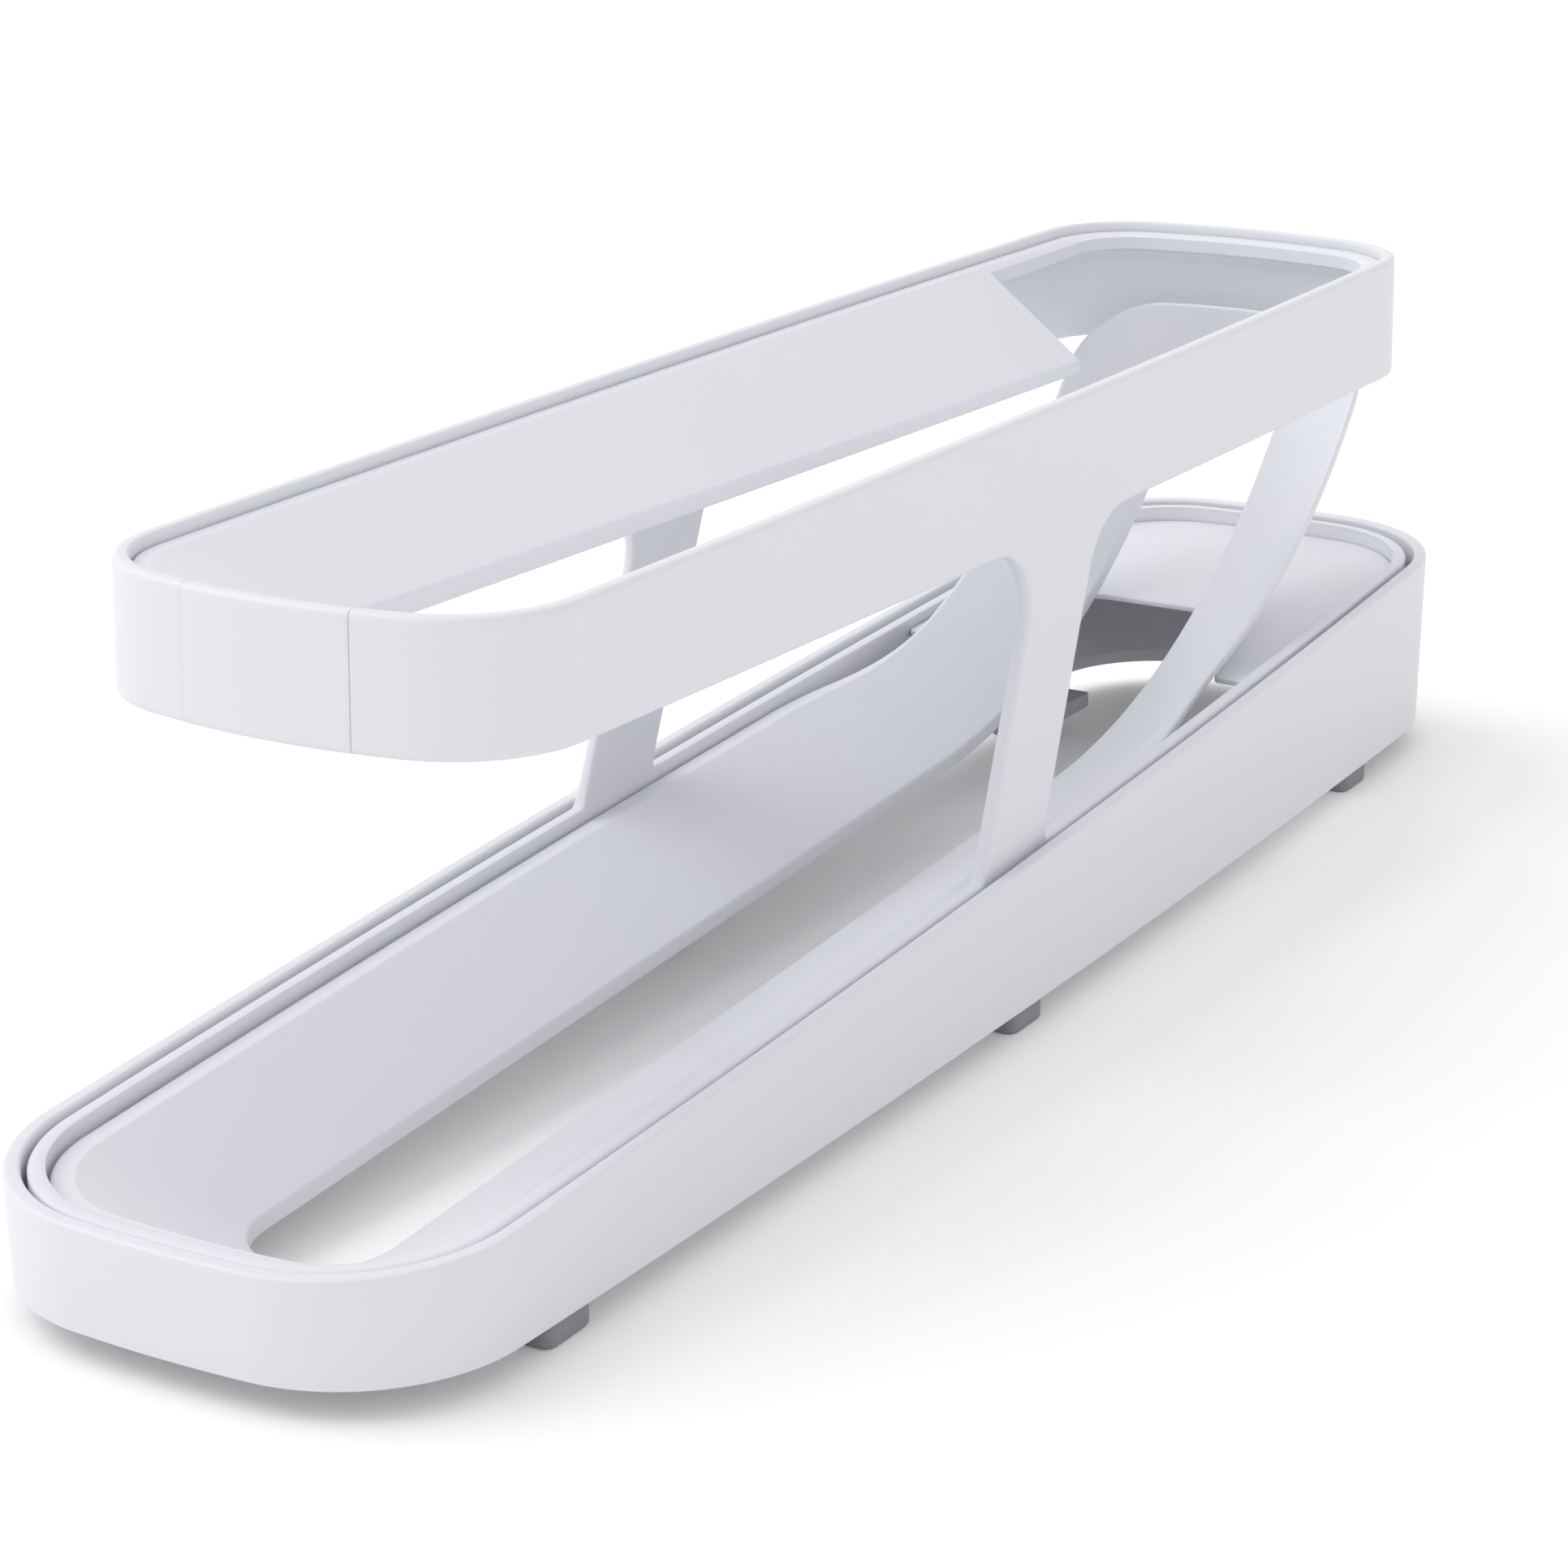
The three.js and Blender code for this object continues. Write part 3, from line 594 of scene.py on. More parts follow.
def makeBaseWall():
    size = baseWall
    right = [pointAlong(basePlan, reach, 0) for reach in reachesOf(basePlan, size["steps"])]
    path = right + [Vector((-p.x, p.y)) for p in reversed(right[1:-1])]
    count = len(path)
    mesh = bpy.data.meshes.new("basePath")
    mesh.from_pydata([(p.x * mm, p.y * mm, 0) for p in path],
                     [(step, (step + 1) % count) for step in range(count)], [])
    mesh = runTree("baseWall", mesh, sweepTree(), {
        "Wall": size["wall"] * mm, "Height": size["frontHeight"] * mm,
        "Draft": size["draft"] * mm, "Rim Round": size["rimRound"] * mm,
        "Foot Round": size["footRound"] * mm, "Slope": baseSlope,
        "Slope Start": baseLow.y * mm, "Material": whitePlastic})
    for vert in mesh.vertices:
        vert.co.z += wallFoot * mm
    return mesh


def instanceTree():
    # puts a copy of one object on each point, turned by the point's own angle
    tree, given = makeTree("copiesOnPoints", (), ("Copied",))
    copied = addNode(tree, "GeometryNodeObjectInfo", {"Object": given.outputs["Copied"]})
    turn = addNode(tree, "GeometryNodeInputNamedAttribute", {"Name": "turn"}, data_type="FLOAT")
    spin = addNode(tree, "ShaderNodeCombineXYZ", {"Z": turn.outputs[0]})
    copies = addNode(tree, "GeometryNodeInstanceOnPoints", {
        "Points": given.outputs["Geometry"], "Instance": copied.outputs["Geometry"],
        "Rotation": spin.outputs[0]})
    return finishTree(tree, given, copies.outputs[0])


copiesOnPoints = instanceTree()


def copiesOf(name, mesh, places, turns, material):
    points = bpy.data.meshes.new(name + "Points")
    points.from_pydata([Vector(place) * mm for place in places], [], [])
    turn = points.attributes.new("turn", "FLOAT", "POINT")
    turn.data.foreach_set("value", turns)
    copied = newObject(name + "Copied", mesh)
    result = runTree(name, points, copiesOnPoints, {"Copied": copied, "Material": material})
    bpy.data.objects.remove(copied)
    return result


def roundColumn(name, x, radius, low, high, sides=40):
    ring = [(x + radius * math.cos(turn), radius * math.sin(turn))
            for turn in (2 * math.pi * side / sides for side in range(sides))]
    return loftMesh(name, [[(u, v, z) for u, v in ring] for z in (low, high)], closed=False)


def makeBrackets():
    size = baseWall
    reach, length, high = size["bracketReach"], size["bracketLength"], size["bracketThickness"]
    plate = roundedBox(
        "bracket", (-reach / 2, -length / 2, 0), (reach / 2, length / 2, high), size["bracketRound"])
    hole = roundColumn("stemHole", size["holeShift"], size["stemHole"], -overrun, high + overrun)
    bracket = carved("bracket", plate, hole, "DIFFERENCE")
    places, turns = [], []
    for foot in footPlaces:
        side = math.copysign(1, foot.x)
        inwards = (size["wall"] + reach) / 2
        places.append((side * (wallHalfWidth(foot.y) - inwards), foot.y, wallFoot))
        turns.append(0 if side > 0 else math.pi)
    return copiesOf("brackets", bracket, places, turns, whitePlastic)


linkPiece("baseMoulding", joined("baseMoulding", [makeBaseWall(), makeBrackets()]),
          whitePlastic, "base", ["base_ring"])
print("base moulding made")


# Feet: rounded pads whose stems plug into the brackets from below

footPad = {
    "width": 12,
    "length": 12,
    "cornerRadius": 2.2,
    "cornerSteps": 8,
    "edgeRound": 0.9,
    "padTop": 4.7,
    "topChamfer": 0.4,
    "stemRadius": 3.5,
    "stemTop": 8.2,
}


def padLoop(inset, z):
    halfWidth, halfLength = footPad["width"] / 2 - inset, footPad["length"] / 2 - inset
    radius = footPad["cornerRadius"] - inset
    corners = [(halfWidth, halfLength, radius), (-halfWidth, halfLength, radius),
               (-halfWidth, -halfLength, radius), (halfWidth, -halfLength, radius)]
    return [(p.x, p.y, z) for p in roundedSection(corners, footPad["cornerSteps"])]


def makePad():
    size, rows = footPad, []
    for step in range(roundSteps + 1):
        turn = math.pi / 2 * step / roundSteps
        rows.append(padLoop(size["edgeRound"] * (1 - math.sin(turn)),
                            size["edgeRound"] * (1 - math.cos(turn))))
    rows.append(padLoop(0, size["padTop"] - size["topChamfer"]))
    rows.append(padLoop(size["topChamfer"], size["padTop"]))
    pad = loftMesh("pad", rows, closed=False)
    stem = roundColumn("stem", 0, size["stemRadius"], size["padTop"] - overrun, size["stemTop"])
    return carved("foot", pad, stem, "UNION")


linkPiece("feet", copiesOf("feet", makePad(), footPlaces, [0] * len(feet), greyRubber),
          greyRubber, "base", feet)
print("feet made")


# Frame: one moulding that is the lower ring, the two leaning posts and the upper band

frameWall = {
    "ringInset": 3.5,
    "ringTaper": 0.9,
    "ringDrop": 0.5,
    "ringWall": 2.6,
    "ringRound": 0.6,
    "ringFootRound": 0.4,
    "bandHalfWidth": 40.9,
    "bandHalfLength": 173.5,
    "bandSetback": 4.7,
    "bandSideBow": 2.2,
    "bandEndBow": 8.2,
    "bandCornerRadius": 21.2,
    "bandWall": 2.5,
    "bandDraft": 0.45,
    "bandFrontDepth": 20.9,
    "bandRearDepth": 24.7,
    "bandRound": 1.0,
    "innerRound": 0.4,  # the rounds of the inner face, as a share of the outer face's
    "postWall": 2.6,
    "postWidth": 23,
    "postMidY": -4.4,
    "postLean": 0.4,
    "postRound": 1.2,
    "postStart": 4,  # the height over which the ring's wall becomes the post's
    "postEnd": 6,  # and the one over which the post's becomes the band's
    "footSoftening": 6,  # the same for the rounding of the post's edges
    "headSoftening": 10,
    "footFillet": 1.0,
    "frontFillet": 11,
    "rearFillet": 14,
    "filletSteps": 14,  # this and the next ten only place the mesh's points
    "filletClear": 2,
    "edgeSpacing": 4,
    "ringSteps": (56, 26, 14),
    "bandSteps": (48, 24, 16),
    "ringRowHeight": 6,
    "bandRows": 4,
    "postRows": 14,
    "postHalfCount": 9,
    "postSpacing": 3,
    "postPivot": 60,
    "ledgeWidth": 1.8,
    "ledgeThickness": 1.5,
    "ledgeDrop": 4.4,
    "ribThickness": 2,
    "ribSpacing": 20,
    "ribHeight": 7,
    "ribGap": 0.3,
    "ribRound": 0.3,
}

bandTop = frameHigh.z
bandPlan = makePlan(
    frameWall["bandHalfWidth"], frameWall["bandHalfLength"], frameWall["bandSetback"],
    frameWall["bandSideBow"], frameWall["bandEndBow"], frameWall["bandCornerRadius"])
bandFront = frameWall["bandSetback"] - frameWall["bandHalfLength"]
bandRear = frameWall["bandSetback"] + frameWall["bandHalfLength"]


def ringTop(y):
    return wallTop(y) - frameWall["ringDrop"]


def ringInsetAt(y):
    return frameWall["ringInset"] + frameWall["ringTaper"] * (y - baseLow.y) / (baseHigh.y - baseLow.y)


def ringPoint(reach, inset):
    y = pointAlong(basePlan, reach, frameWall["ringInset"]).y
    return pointAlong(basePlan, reach, ringInsetAt(y) + inset)


def bandPoint(reach, inset):
    return pointAlong(bandPlan, reach, inset)


def bandBottom(y):
    share = (y - bandFront) / (bandRear - bandFront)
    return bandTop - mix(frameWall["bandFrontDepth"], frameWall["bandRearDepth"], share)


def framePlace(u, v, side, depth):
    # u is a length along the outlines, v a height; side 0 is the outer face, 1 the inner
    size = frameWall
    reach = u - size["bandSetback"]
    shoulder = ringTop(pointAlong(basePlan, u, size["ringInset"]).y) - size["ringRound"]
    under = bandBottom(bandPoint(reach, 0).y)
    share = max(0, min(1, (v - shoulder) / (under - shoulder)))
    wall = mix(size["ringWall"], size["postWall"], smooth((v - shoulder) / size["postStart"]))
    wall = mix(wall, size["bandWall"], smooth(1 - (under - v) / size["postEnd"]))
    inset = depth if side == 0 else wall - depth * size["innerRound"]
    upright = (v - under) / (bandTop - size["bandRound"] - under)
    lean = size["bandDraft"] * (1 - max(0, min(1, upright)))
    place = mix(ringPoint(u, inset), bandPoint(reach, inset - lean), share)
    return Vector((place.x, place.y, v))


def postEdge(side):
    # the edge of a post, from the ring to the band; side -1 is its front edge and 1 its rear one
    size = frameWall
    centre = size["postMidY"]
    middle = (ringTop(centre) + bandBottom(centre)) / 2
    settleRounds = 12
    away = side * 60  # from a corner to a point far along the ring or the band

    def meets(level):
        y = centre
        for step in range(settleRounds):
            y = centre + side * size["postWidth"] / 2 + (level(y) - middle) * size["postLean"]
        return Vector((y, level(y)))

    def beyond(point, level):
        return Vector((point.x + away, level(point.x + away)))

    foot, head = meets(ringTop), meets(bandBottom)
    footArc = filletPoints(beyond(foot, ringTop), foot, head, size["footFillet"], roundSteps)
    radius = size["frontFillet"] if side < 0 else size["rearFillet"]
    headArc = filletPoints(foot, head, beyond(head, bandBottom), radius, size["filletSteps"])
    start, end = footArc[-1], headArc[0]
    count = round((end - start).length / size["edgeSpacing"])
    path = footArc + [start.lerp(end, step / count) for step in range(1, count)] + headArc
    edge = []
    for p in path:
        share = min((p.y - ringTop(p.x)) / size["footSoftening"],
                    (bandBottom(p.x) - p.y) / size["headSoftening"])
        edge.append((p.x, p.y, mix(size["ringRound"], size["postRound"], smooth(share))))
    return edge


def frameFill(ringEdge, bandEdge):
    # points inside the outline, so that no triangle spans a curved wall
    size, fill = frameWall, []
    for u, top, radius in ringEdge[1:-1]:
        count = max(2, round((top - frameLow.z) / size["ringRowHeight"]))
        fill += [(u, mix(frameLow.z, top, step / count)) for step in range(1, count)]
    rows = size["bandRows"]
    for u, low, radius in bandEdge[1:-1]:
        fill += [(u, mix(low, bandTop, step / rows)) for step in range(1, rows)]
    rows, half = size["postRows"], size["postHalfCount"]
    for step in range(rows + 1):
        z = mix(ringTop(0), bandBottom(0), step / rows)
        middle = size["postMidY"] + (z - size["postPivot"]) * size["postLean"]
        fill += [(middle + size["postSpacing"] * place, z) for place in range(-half, half + 1)]
    return fill


def makeFrameShell():
    size = frameWall
    setback, clear = size["bandSetback"], size["filletClear"]
    ringReaches = reachesOf(basePlan, size["ringSteps"])
    bandReaches = reachesOf(bandPlan, size["bandSteps"])
    ringEdge = [(r, ringTop(ringPoint(r, 0).y), size["ringRound"]) for r in ringReaches]
    bandEdge = [(r + setback, bandBottom(bandPoint(r, 0).y), size["bandRound"]) for r in bandReaches]
    front, rear = postEdge(-1), postEdge(1)
    chains = [
        [(r, frameLow.z, size["ringFootRound"]) for r in ringReaches],
        [p for p in reversed(ringEdge) if p[0] > rear[0][0] + clear] + rear
        + [p for p in bandEdge if p[0] > rear[-1][0] + clear],
        [(r + setback, bandTop, size["bandRound"]) for r in reversed(bandReaches)],
        [p for p in bandEdge if p[0] < front[-1][0] - clear] + list(reversed(front))
        + [p for p in reversed(ringEdge) if p[0] < front[0][0] - clear],
    ]
    return roundedPlate("frameShell", chains, framePlace, frameFill(ringEdge, bandEdge))


def hoopAlong(name, place, reaches, section, closed=True):
    # sweeps a section of (inset, height) round an outline
    right = [[(place(reach, inset), height) for inset, height in section(reach)] for reach in reaches]
    rows = [[Vector((p.x, p.y, z)) for p, z in row] for row in right]
    back = mirroredRows(rows)[1:]
    return loftMesh(name, rows + (back[:-1] if closed else back), closed)


def makeLedge():
    size = frameWall
    top = bandTop - size["ledgeDrop"]
    low = top - size["ledgeThickness"]
    near, far = size["bandWall"] - overlap, size["bandWall"] + size["ledgeWidth"]
    section = [(near, top), (far, top), (far, low), (near, low - size["ledgeWidth"] - overlap)]
    reaches = reachesOf(bandPlan, size["bandSteps"])
    return hoopAlong("ledge", bandPoint, reaches, lambda reach: section)


# Lower trough: its rim follows the ring, its floor falls to a slot, and its rear curls up as a ramp

lowerTrack = {
    "inset": 7.2,
    "rim": 3.6,
    "rimThickness": 1.8,
    "rimRound": 0.6,
    "rimSoftness": 1.2,
    "drop": 2.7,
    "depth": 12.9,
    "lip": 3.3,
    "slotWidth": 24,
    "slotFront": 34,
    "rampStart": 60,
    "rampBackGap": 1.25,
    "rampSlotDrop": 6.95,
    "headLength": 11.8,
    "rampRim": 0.7,
    "rampNarrow": 7.2,
    "headNarrow": 2.7,
    "narrowPower": 1.5,
    "fadeLength": 60,
    "fadeSetback": 8,
    "steps": (110, 30, 16),
    "legLength": 14,
    "legThickness": 3,
    "legGap": 0.4,
    "legRound": 0.4,
}

troughEdges = {  # the edges that both troughs have, by their rounds
    "under": 0.3,
    "slotTop": 0.9,
    "slotFoot": 0.4,
    "slopeShare": 0.75,  # not a round: where the slope's underside starts, as a share of the rim
}


def slotLevel(y):
    return wallTop(y) - lowerTrack["drop"] - lowerTrack["depth"] / math.cos(slopeTurn)


def rampArc():
    size = lowerTrack
    start = Vector((size["rampStart"] + size["lip"] * math.sin(slopeTurn),
                    slotLevel(size["rampStart"]) - size["lip"] * math.cos(slopeTurn)))
    end = Vector((bandRear - frameWall["bandWall"] - size["rampBackGap"],
                  bandBottom(bandRear) - size["rampSlotDrop"]))
    chord = end - start
    turn = 2 * (math.atan2(chord.y, chord.x) - slopeTurn)
    return turn, chord.length / (2 * math.sin(turn / 2)) - size["lip"]


rampTurn, rampRadius = rampArc()
rampStart = lowerTrack["rampStart"] / math.cos(slopeTurn)
slotEnd = rampStart + rampRadius * rampTurn
rampEnd = slotEnd + lowerTrack["headLength"]
trackFront = (lowerTrack["inset"] + baseLow.y) / math.cos(slopeTurn)
trackPlan = makePlan(
    baseHigh.x, (rampEnd - trackFront) / 2 + lowerTrack["inset"], (rampEnd + trackFront) / 2,
    baseWall["sideBow"], baseWall["endBow"], baseWall["cornerRadius"])


def rampPoint(x, station, rise):
    # a station is a length along the slot's edge: straight on, then up the arc of the ramp
    if station <= rampStart:
        y, turn = station * math.cos(slopeTurn), slopeTurn
        z = slotLevel(y)
    else:
        turn = slopeTurn + (station - rampStart) / rampRadius
        y = lowerTrack["rampStart"] + rampRadius * (math.sin(turn) - math.sin(slopeTurn))
        z = slotLevel(lowerTrack["rampStart"]) + rampRadius * (math.cos(slopeTurn) - math.cos(turn))
    return Vector((x, y - rise * math.sin(turn), z + rise * math.cos(turn)))


def slotPoint(place, front, rear, radius):
    # where a point of an outline meets the long slot: its straight edge, or one of its round ends
    centre = max(front, min(rear, place.y))
    if centre == place.y:
        return Vector((radius, place.y))
    return Vector((0, centre)) + Vector((place.x, place.y - centre)).normalized() * radius


def troughRow(size, outer, rimEnd, slot, top, low, lip, lift):
    # a flat rim, then a slope down to the slot's edge, drawn over a line that bends at the rim's end
    first, second = rimEnd - outer, slot - rimEnd
    edge, far, rounds = top - size["rimThickness"], first.length + second.length, troughEdges
    corners = [
        (0, edge, rounds["under"]), (0, top, size["rimRound"]), (first.length, top, size["rimSoftness"]),
        (far, low, rounds["slotTop"]), (far, low - lip, rounds["slotFoot"]),
        (rounds["slopeShare"] * first.length, edge, rounds["slotFoot"])]
    row = []
    for p in roundedSection(corners):
        if p.x <= first.length:
            at = outer + first.normalized() * p.x
        else:
            at = rimEnd + second.normalized() * (p.x - first.length)
        row.append(lift(at.x, at.y, p.y))
    return row


def makeLowerTrack():
    size, rows = lowerTrack, []
    half = size["slotWidth"] / 2
    for reach in reachesOf(trackPlan, size["steps"]):
        whole = pointAlong(trackPlan, reach, size["inset"])
        straight = pointAlong(trackPlan, reach, size["inset"] + size["rim"])
        fade = smooth((whole.y - rampStart - size["fadeSetback"]) / size["fadeLength"] + 0.5)
        climb = max(0, min(1, (whole.y - rampStart) / (rampEnd - rampStart)))
        narrow = fade * mix(
            size["headNarrow"], size["rampNarrow"], (1 - climb) ** size["narrowPower"])
        rim = mix(size["rim"], size["rampRim"], fade)
        outer = whole.lerp(straight, narrow / size["rim"])
        rimEnd = whole.lerp(straight, (narrow + rim) / size["rim"])
        slot = slotPoint(straight, trackFront + size["slotFront"], slotEnd - half, half)
        rows.append(troughRow(size, outer, rimEnd, slot, size["depth"], 0, size["lip"], rampPoint))
    meshes = [loftMesh("lowerTrack", rows + mirroredRows(rows[1:-1]))]
    half = size["legLength"] / 2
    for x, y, z in footPlaces:
        if y > size["rampStart"]:
            continue
        outside = wallHalfWidth(y) - size["inset"] - size["legGap"]
        edges = [math.copysign(edge, x) for edge in (outside, outside - size["legThickness"])]
        top = wallTop(y - half) - size["drop"] - size["rimThickness"] / 2
        meshes.append(roundedBox(
            "leg", (min(edges), y - half, frameLow.z), (max(edges), y + half, top), size["legRound"]))
    linkPiece("lowerTrack", joined("lowerTrack", meshes), whitePlastic, "stand", ["lower_track"])


makeLowerTrack()
print("lower trough and ramp made")


# Rear deck: a plate inside the ring, notched where the ramp passes through

rearDeck = {
    "frontDrop": 1.9,
    "rearDrop": 3.1,
    "thickness": 1.2,
    "gap": 0.3,
    "front": 93.5,
    "notchWidth": 62,
    "notchLength": 40,
    "notchEndWidth": 31,
    "notchRound": 6,
    "notchSteps": 8,
    "edgeRound": 0.35,
    "cornerRadius": 1.3,
    "cornerSteps": 4,
    "rimSteps": (80, 26, 14),
    "rimClear": 4,
    "fillSpacing": 3,
    "fillCounts": (14, 36),
}


def deckTop(y):
    share = (y - rearDeck["front"]) / (baseHigh.y - rearDeck["front"])
    return ringTop(y) - mix(rearDeck["frontDrop"], rearDeck["rearDrop"], share)


def makeRearDeck():
    size = rearDeck
    mouth = Vector((size["notchWidth"] / 2, size["front"]))
    end = Vector((size["notchEndWidth"] / 2, size["front"] + size["notchLength"]))
    bottom = filletPoints(Vector((0, end.y)), end, mouth, size["notchRound"], size["notchSteps"])
    count = round((mouth - bottom[-1]).length / size["fillSpacing"])
    notch = [Vector((0, end.y)), Vector((bottom[0].x / 2, end.y))] + bottom
    notch += [bottom[-1].lerp(mouth, step / count) for step in range(1, count + 1)]
    inset = frameWall["ringWall"] + size["gap"]
    reaches = reachesOf(basePlan, size["rimSteps"])
    rim = [ringPoint(r, inset) for r in reaches if r > size["front"] + size["rimClear"]]
    corner = ringPoint(size["front"], inset)
    corner.y = size["front"]
    ahead = filletPoints(notch[-2], notch[-1], corner, size["cornerRadius"], size["cornerSteps"])
    beside = filletPoints(notch[-1], corner, rim[0], size["cornerRadius"], size["cornerSteps"])
    path = notch[:-1] + ahead + beside + rim

    def place(u, v, side, depth):
        return Vector((u, v, deckTop(v) - (depth if side == 0 else size["thickness"] - depth)))

    spacing, (countAcross, countAlong) = size["fillSpacing"], size["fillCounts"]
    fill = [(spacing * across, size["front"] + spacing * along)
            for across in range(countAcross) for along in range(countAlong)]
    mesh = roundedPlate("rearDeck", [[(p.x, p.y, size["edgeRound"]) for p in path]], place, fill)
    linkPiece("rearDeck", mesh, whitePlastic, "stand", ["rear_deck"])


# The frame again: its shelf under the deck, its ribs behind the ramp, and the front plate

def makeShelf():
    size = frameWall
    near, far = size["ringWall"] - overlap, size["ringWall"] + size["ledgeWidth"]

    def section(reach):
        top = deckTop(ringPoint(reach, 0).y) - rearDeck["thickness"] - rearDeck["gap"]
        low = top - size["ledgeThickness"]
        return [(near, top), (far, top), (far, low), (near, low)]

    front = rearDeck["front"]
    reaches = [front] + [reach for reach in reachesOf(basePlan, size["ringSteps"]) if reach > front]
    return hoopAlong("shelf", ringPoint, reaches, section, closed=False)


def makeRibs():
    # two upright ribs behind the head of the ramp, clear of its rearmost point above their foot
    size, half = frameWall, frameWall["ribThickness"] / 2
    low, rear = bandBottom(bandRear), bandRear - frameWall["bandWall"] / 2
    under, over = -lowerTrack["lip"], lowerTrack["depth"] - lowerTrack["rimThickness"]
    samples = 60
    shares = [step / samples for step in range(samples + 1)]
    head = [rampPoint(0, mix(slotEnd, rampEnd, share), mix(under, over, share)) for share in shares]
    front = max(point.y for point in head if point.z > low) + size["ribGap"]
    top = min(low + size["ribHeight"], rampPoint(0, rampEnd, 0).z)
    middles = [side * size["ribSpacing"] / 2 for side in (-1, 1)]
    return [roundedBox("rib", (x - half, front, low), (x + half, rear, top), size["ribRound"])
            for x in middles]


frontPlate = {
    "width": 29.5,
    "gap": 0.08,
    "stand": 0.1,  # it sits a touch proud of the band
    "seamRound": 0.06,
    "cutReach": 30,
    "cutDepth": 40,
    "tongueThickness": 1.3,
    "tongueReach": 6,
    "tongueHeight": 10,
    "tongueDrop": 8.5,
    "tongueSteps": 24,
}


def cutAcross(mesh, half, inside):
    # cuts the upper band with two upright planes and keeps what lies inside or outside them
    front, low = bandFront + frontPlate["cutReach"], bandTop - frontPlate["cutDepth"]
    shape = bmesh.new()
    shape.from_mesh(mesh)
    for side in (-1, 1):
        plane = {"plane_co": (side * half * mm, 0, 0), "plane_no": (1, 0, 0)}
        bmesh.ops.bisect_plane(shape, geom=shape.verts[:] + shape.edges[:] + shape.faces[:], **plane)
    doomed = []
    for face in shape.faces:
        centre = face.calc_center_median() / mm
        within = abs(centre.x) < half and centre.y < front and centre.z > low
        if within != inside:
            doomed.append(face)
    bmesh.ops.delete(shape, geom=doomed, context="FACES")
    rims = [edge for edge in shape.edges if edge.is_boundary]
    bmesh.ops.holes_fill(shape, edges=rims, sides=0)
    rims = [edge for edge in rims if edge.is_valid]
    bmesh.ops.bevel(
        shape, geom=rims, offset=frontPlate["seamRound"] * mm, segments=2, profile=0.5, affect="EDGES")
    bmesh.ops.recalc_face_normals(shape, faces=shape.faces)
    return meshOf(shape, mesh.name)


def makeTongue():
    # behind the plate, lapping both ends of the band
    size = frontPlate
    high = bandTop - size["tongueDrop"]
    low = high - size["tongueHeight"]
    near = frameWall["bandWall"] + size["gap"]
    far = near + size["tongueThickness"]
    half, steps = size["width"] / 2, size["tongueSteps"]
    centre, radius = bandPlan["arcs"][2][:2]

    def row(x, first):
        points = []
        for inset, z in ((first, low), (first, high), (far, high), (far, low)):
            y = frameWall["bandSetback"] - centre.y - math.sqrt((radius - inset) ** 2 - x ** 2)
            points.append((x, y, z))
        return points

    def lath(name, width, first):
        rows = [row(mix(-width, width, step / steps), first) for step in range(steps + 1)]
        return loftMesh(name, rows, closed=False)

    return [lath("lap", half + size["tongueReach"], near),
            lath("root", half - overrun, frameWall["bandWall"] / 2)]


def makeFrame():
    shell = joined("frame", [makeFrameShell(), makeLedge()])
    half, gap = frontPlate["width"] / 2, frontPlate["gap"] / 2
    hoop = cutAcross(shell, half + gap, False)
    plate = cutAcross(shell, half - gap, True)
    for vert in plate.vertices:
        vert.co.y -= frontPlate["stand"] * mm
    linkPiece("frameMoulding", joined("frameMoulding", [hoop, makeShelf()] + makeRibs()),
              whitePlastic, "stand", ["frame"])
    linkPiece("frontPlate", joined("frontPlate", [plate] + makeTongue()),
              whitePlastic, "stand", ["front_plate"])


makeFrame()
print("frame and front plate made")

makeRearDeck()
print("rear deck made")


# Upper trough: its rim lies on the band's ledge, and behind the slot it is open for the drop

upperTray = {
    "inset": 2.8,
    "rim": 2.6,
    "rimThickness": 2.2,
    "rimRound": 0.45,
    "rimSoftness": 1.2,
    "frontDepth": 10.6,
    "rearDepth": 17.4,
    "frontLip": 3.9,
    "rearLip": 3,
    "slotWidth": 24,
    "slotFront": 24,
    "dropStart": 118,
    "dropRimLeft": 1.5,
    "dropLevels": (60, 120),
    "steps": (90, 30, 18),
}


def makeUpperTray():
    size, half = upperTray, upperTray["slotWidth"] / 2
    slotFront = bandFront + size["inset"] + size["slotFront"]
    rows = []
    reaches = reachesOf(bandPlan, size["steps"])
    for reach in reaches:
        outer = bandPoint(reach, size["inset"])
        rimEnd = bandPoint(reach, size["inset"] + size["rim"])
        slot = slotPoint(rimEnd, slotFront + half, size["dropStart"], half)
        share = (slot.y - slotFront) / (size["dropStart"] - slotFront)
        low = trayTop - mix(size["frontDepth"], size["rearDepth"], share)
        lip = mix(size["frontLip"], size["rearLip"], share)
        rows.append(troughRow(
            size, outer, rimEnd, slot, trayTop, low, lip, lambda x, y, z: Vector((x, y, z))))
    bowl = loftMesh("upperTray", rows + mirroredRows(rows[1:-1]))
    inset = size["inset"] + size["rim"] + size["dropRimLeft"]
    right = [bandPoint(reach, inset) for reach in reaches]
    right = [p for p in right if p.y > size["dropStart"] + overrun]
    right.insert(0, Vector((right[0].x, size["dropStart"])))
    outline = right + [Vector((-p.x, p.y)) for p in reversed(right[:-1])]
    drop = loftMesh(
        "drop", [[(p.x, p.y, z) for p in outline] for z in size["dropLevels"]], closed=False)
    mesh = carved("upperTray", bowl, drop, "DIFFERENCE")
    linkPiece("upperTray", mesh, whitePlastic, "tray", ["upper_tray"])


makeUpperTray()
print("upper trough made")


# Floor, backdrop and lamps

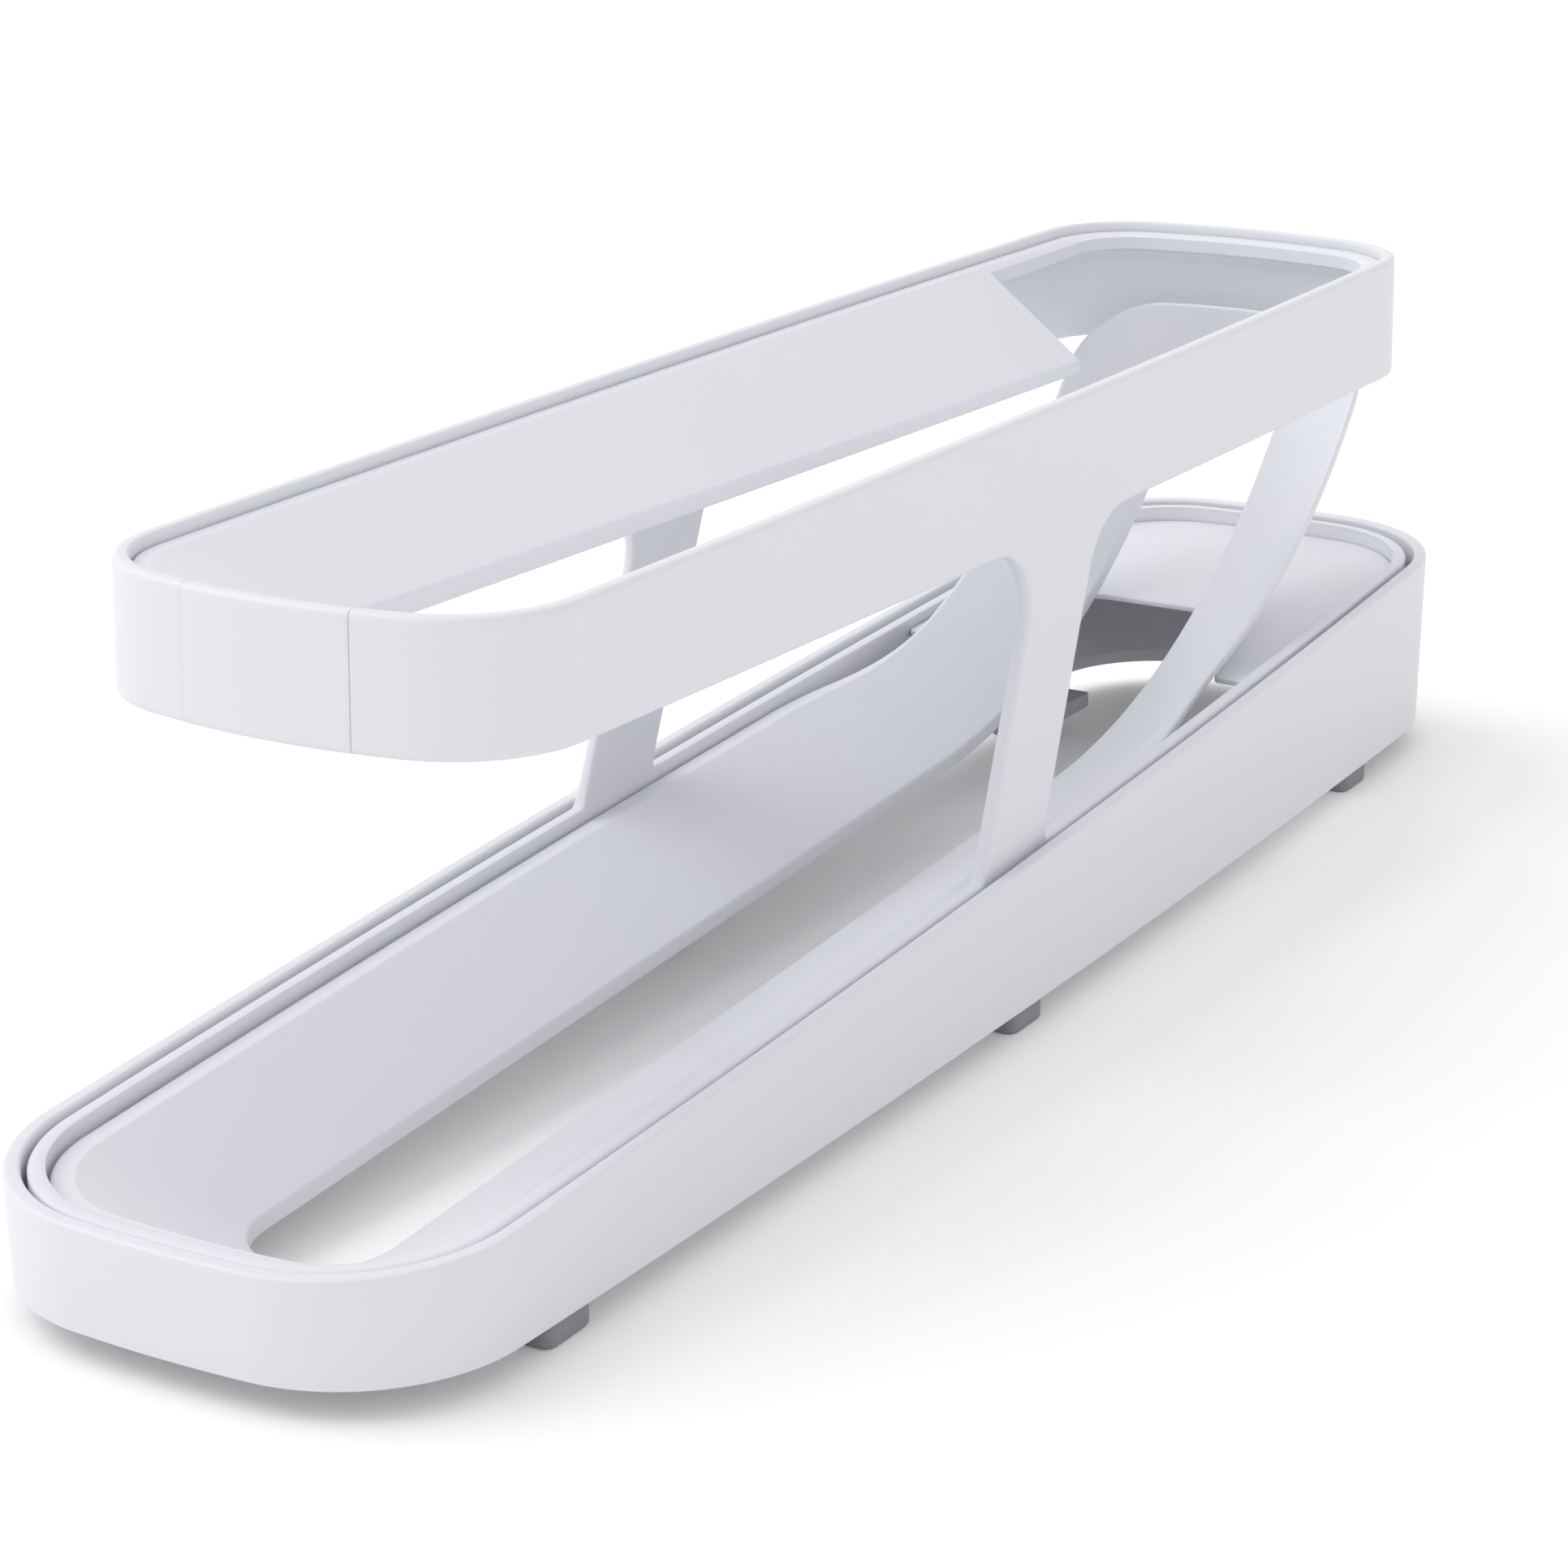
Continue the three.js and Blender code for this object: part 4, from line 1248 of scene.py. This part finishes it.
studio = {
    "floorColour": "#fdfdfd",
    "floorLift": 0.12,  # plain white that the camera sees on top of the lit floor
    "floorRoughness": 0.9,
    "floorHalf": 8.0,  # in metres
    "skyStrength": 0.75,
    "sunStrength": 1.06,
    "sunAngle": 50,
    "sunFrom": (-0.63, -0.24, 0.74),
}


def seenRays(tree):
    # 1 for what the camera sees, straight or mirrored, and 0 for light that only falls on things
    rays = addNode(tree, "ShaderNodeLightPath").outputs
    seen = rays["Is Camera Ray"]
    for kind in ("Is Glossy Ray", "Is Transmission Ray"):
        seen = addNode(tree, "ShaderNodeMath", {0: seen, 1: rays[kind]}, operation="MAXIMUM").outputs[0]
    return seen


def makeBackdrop(name):
    material, tree, shader = newMaterial(name)
    setInputs(tree, shader, {
        "Base Color": linear(studio["floorColour"]), "Roughness": studio["floorRoughness"],
        "Specular IOR Level": 0.0})
    lift = addNode(tree, "ShaderNodeMath", {
        0: seenRays(tree), 1: studio["floorLift"]}, operation="MULTIPLY")
    white = addNode(tree, "ShaderNodeEmission", {"Color": (1, 1, 1, 1), "Strength": lift.outputs[0]})
    both = addNode(tree, "ShaderNodeAddShader", {0: shader.outputs[0], 1: white.outputs[0]})
    setInputs(tree, tree.nodes["Material Output"], {"Surface": both.outputs[0]})
    return material


def makeFloor():
    half = studio["floorHalf"]
    corners = [(-half, -half, 0), (half, -half, 0), (half, half, 0), (-half, half, 0)]
    mesh = bpy.data.meshes.new("floor")
    mesh.from_pydata(corners, [], [(0, 1, 2, 3)])
    mesh.materials.append(makeBackdrop("matteWhiteBackdrop"))
    newObject("floor", mesh)


def makeSky():
    world = bpy.data.worlds.new("softStudio")
    bpy.context.scene.world = world
    world.use_nodes = True
    tree = world.node_tree
    strength = addNode(tree, "ShaderNodeMapRange", {
        "Value": seenRays(tree), "To Min": studio["skyStrength"], "To Max": 1.0})
    setInputs(tree, tree.nodes["Background"], {
        "Color": (1, 1, 1, 1), "Strength": strength.outputs["Result"]})


def makeSun():
    sun = newObject("softSun", bpy.data.lights.new("softSun", "SUN"))
    sun.data.energy = studio["sunStrength"]
    sun.data.angle = math.radians(studio["sunAngle"])
    sun.rotation_mode = "QUATERNION"
    sun.rotation_quaternion = Vector(studio["sunFrom"]).to_track_quat("Z", "Y")


makeFloor()
makeSky()
makeSun()
bpy.context.scene.view_settings.view_transform = "Standard"
print("floor and lamps made")
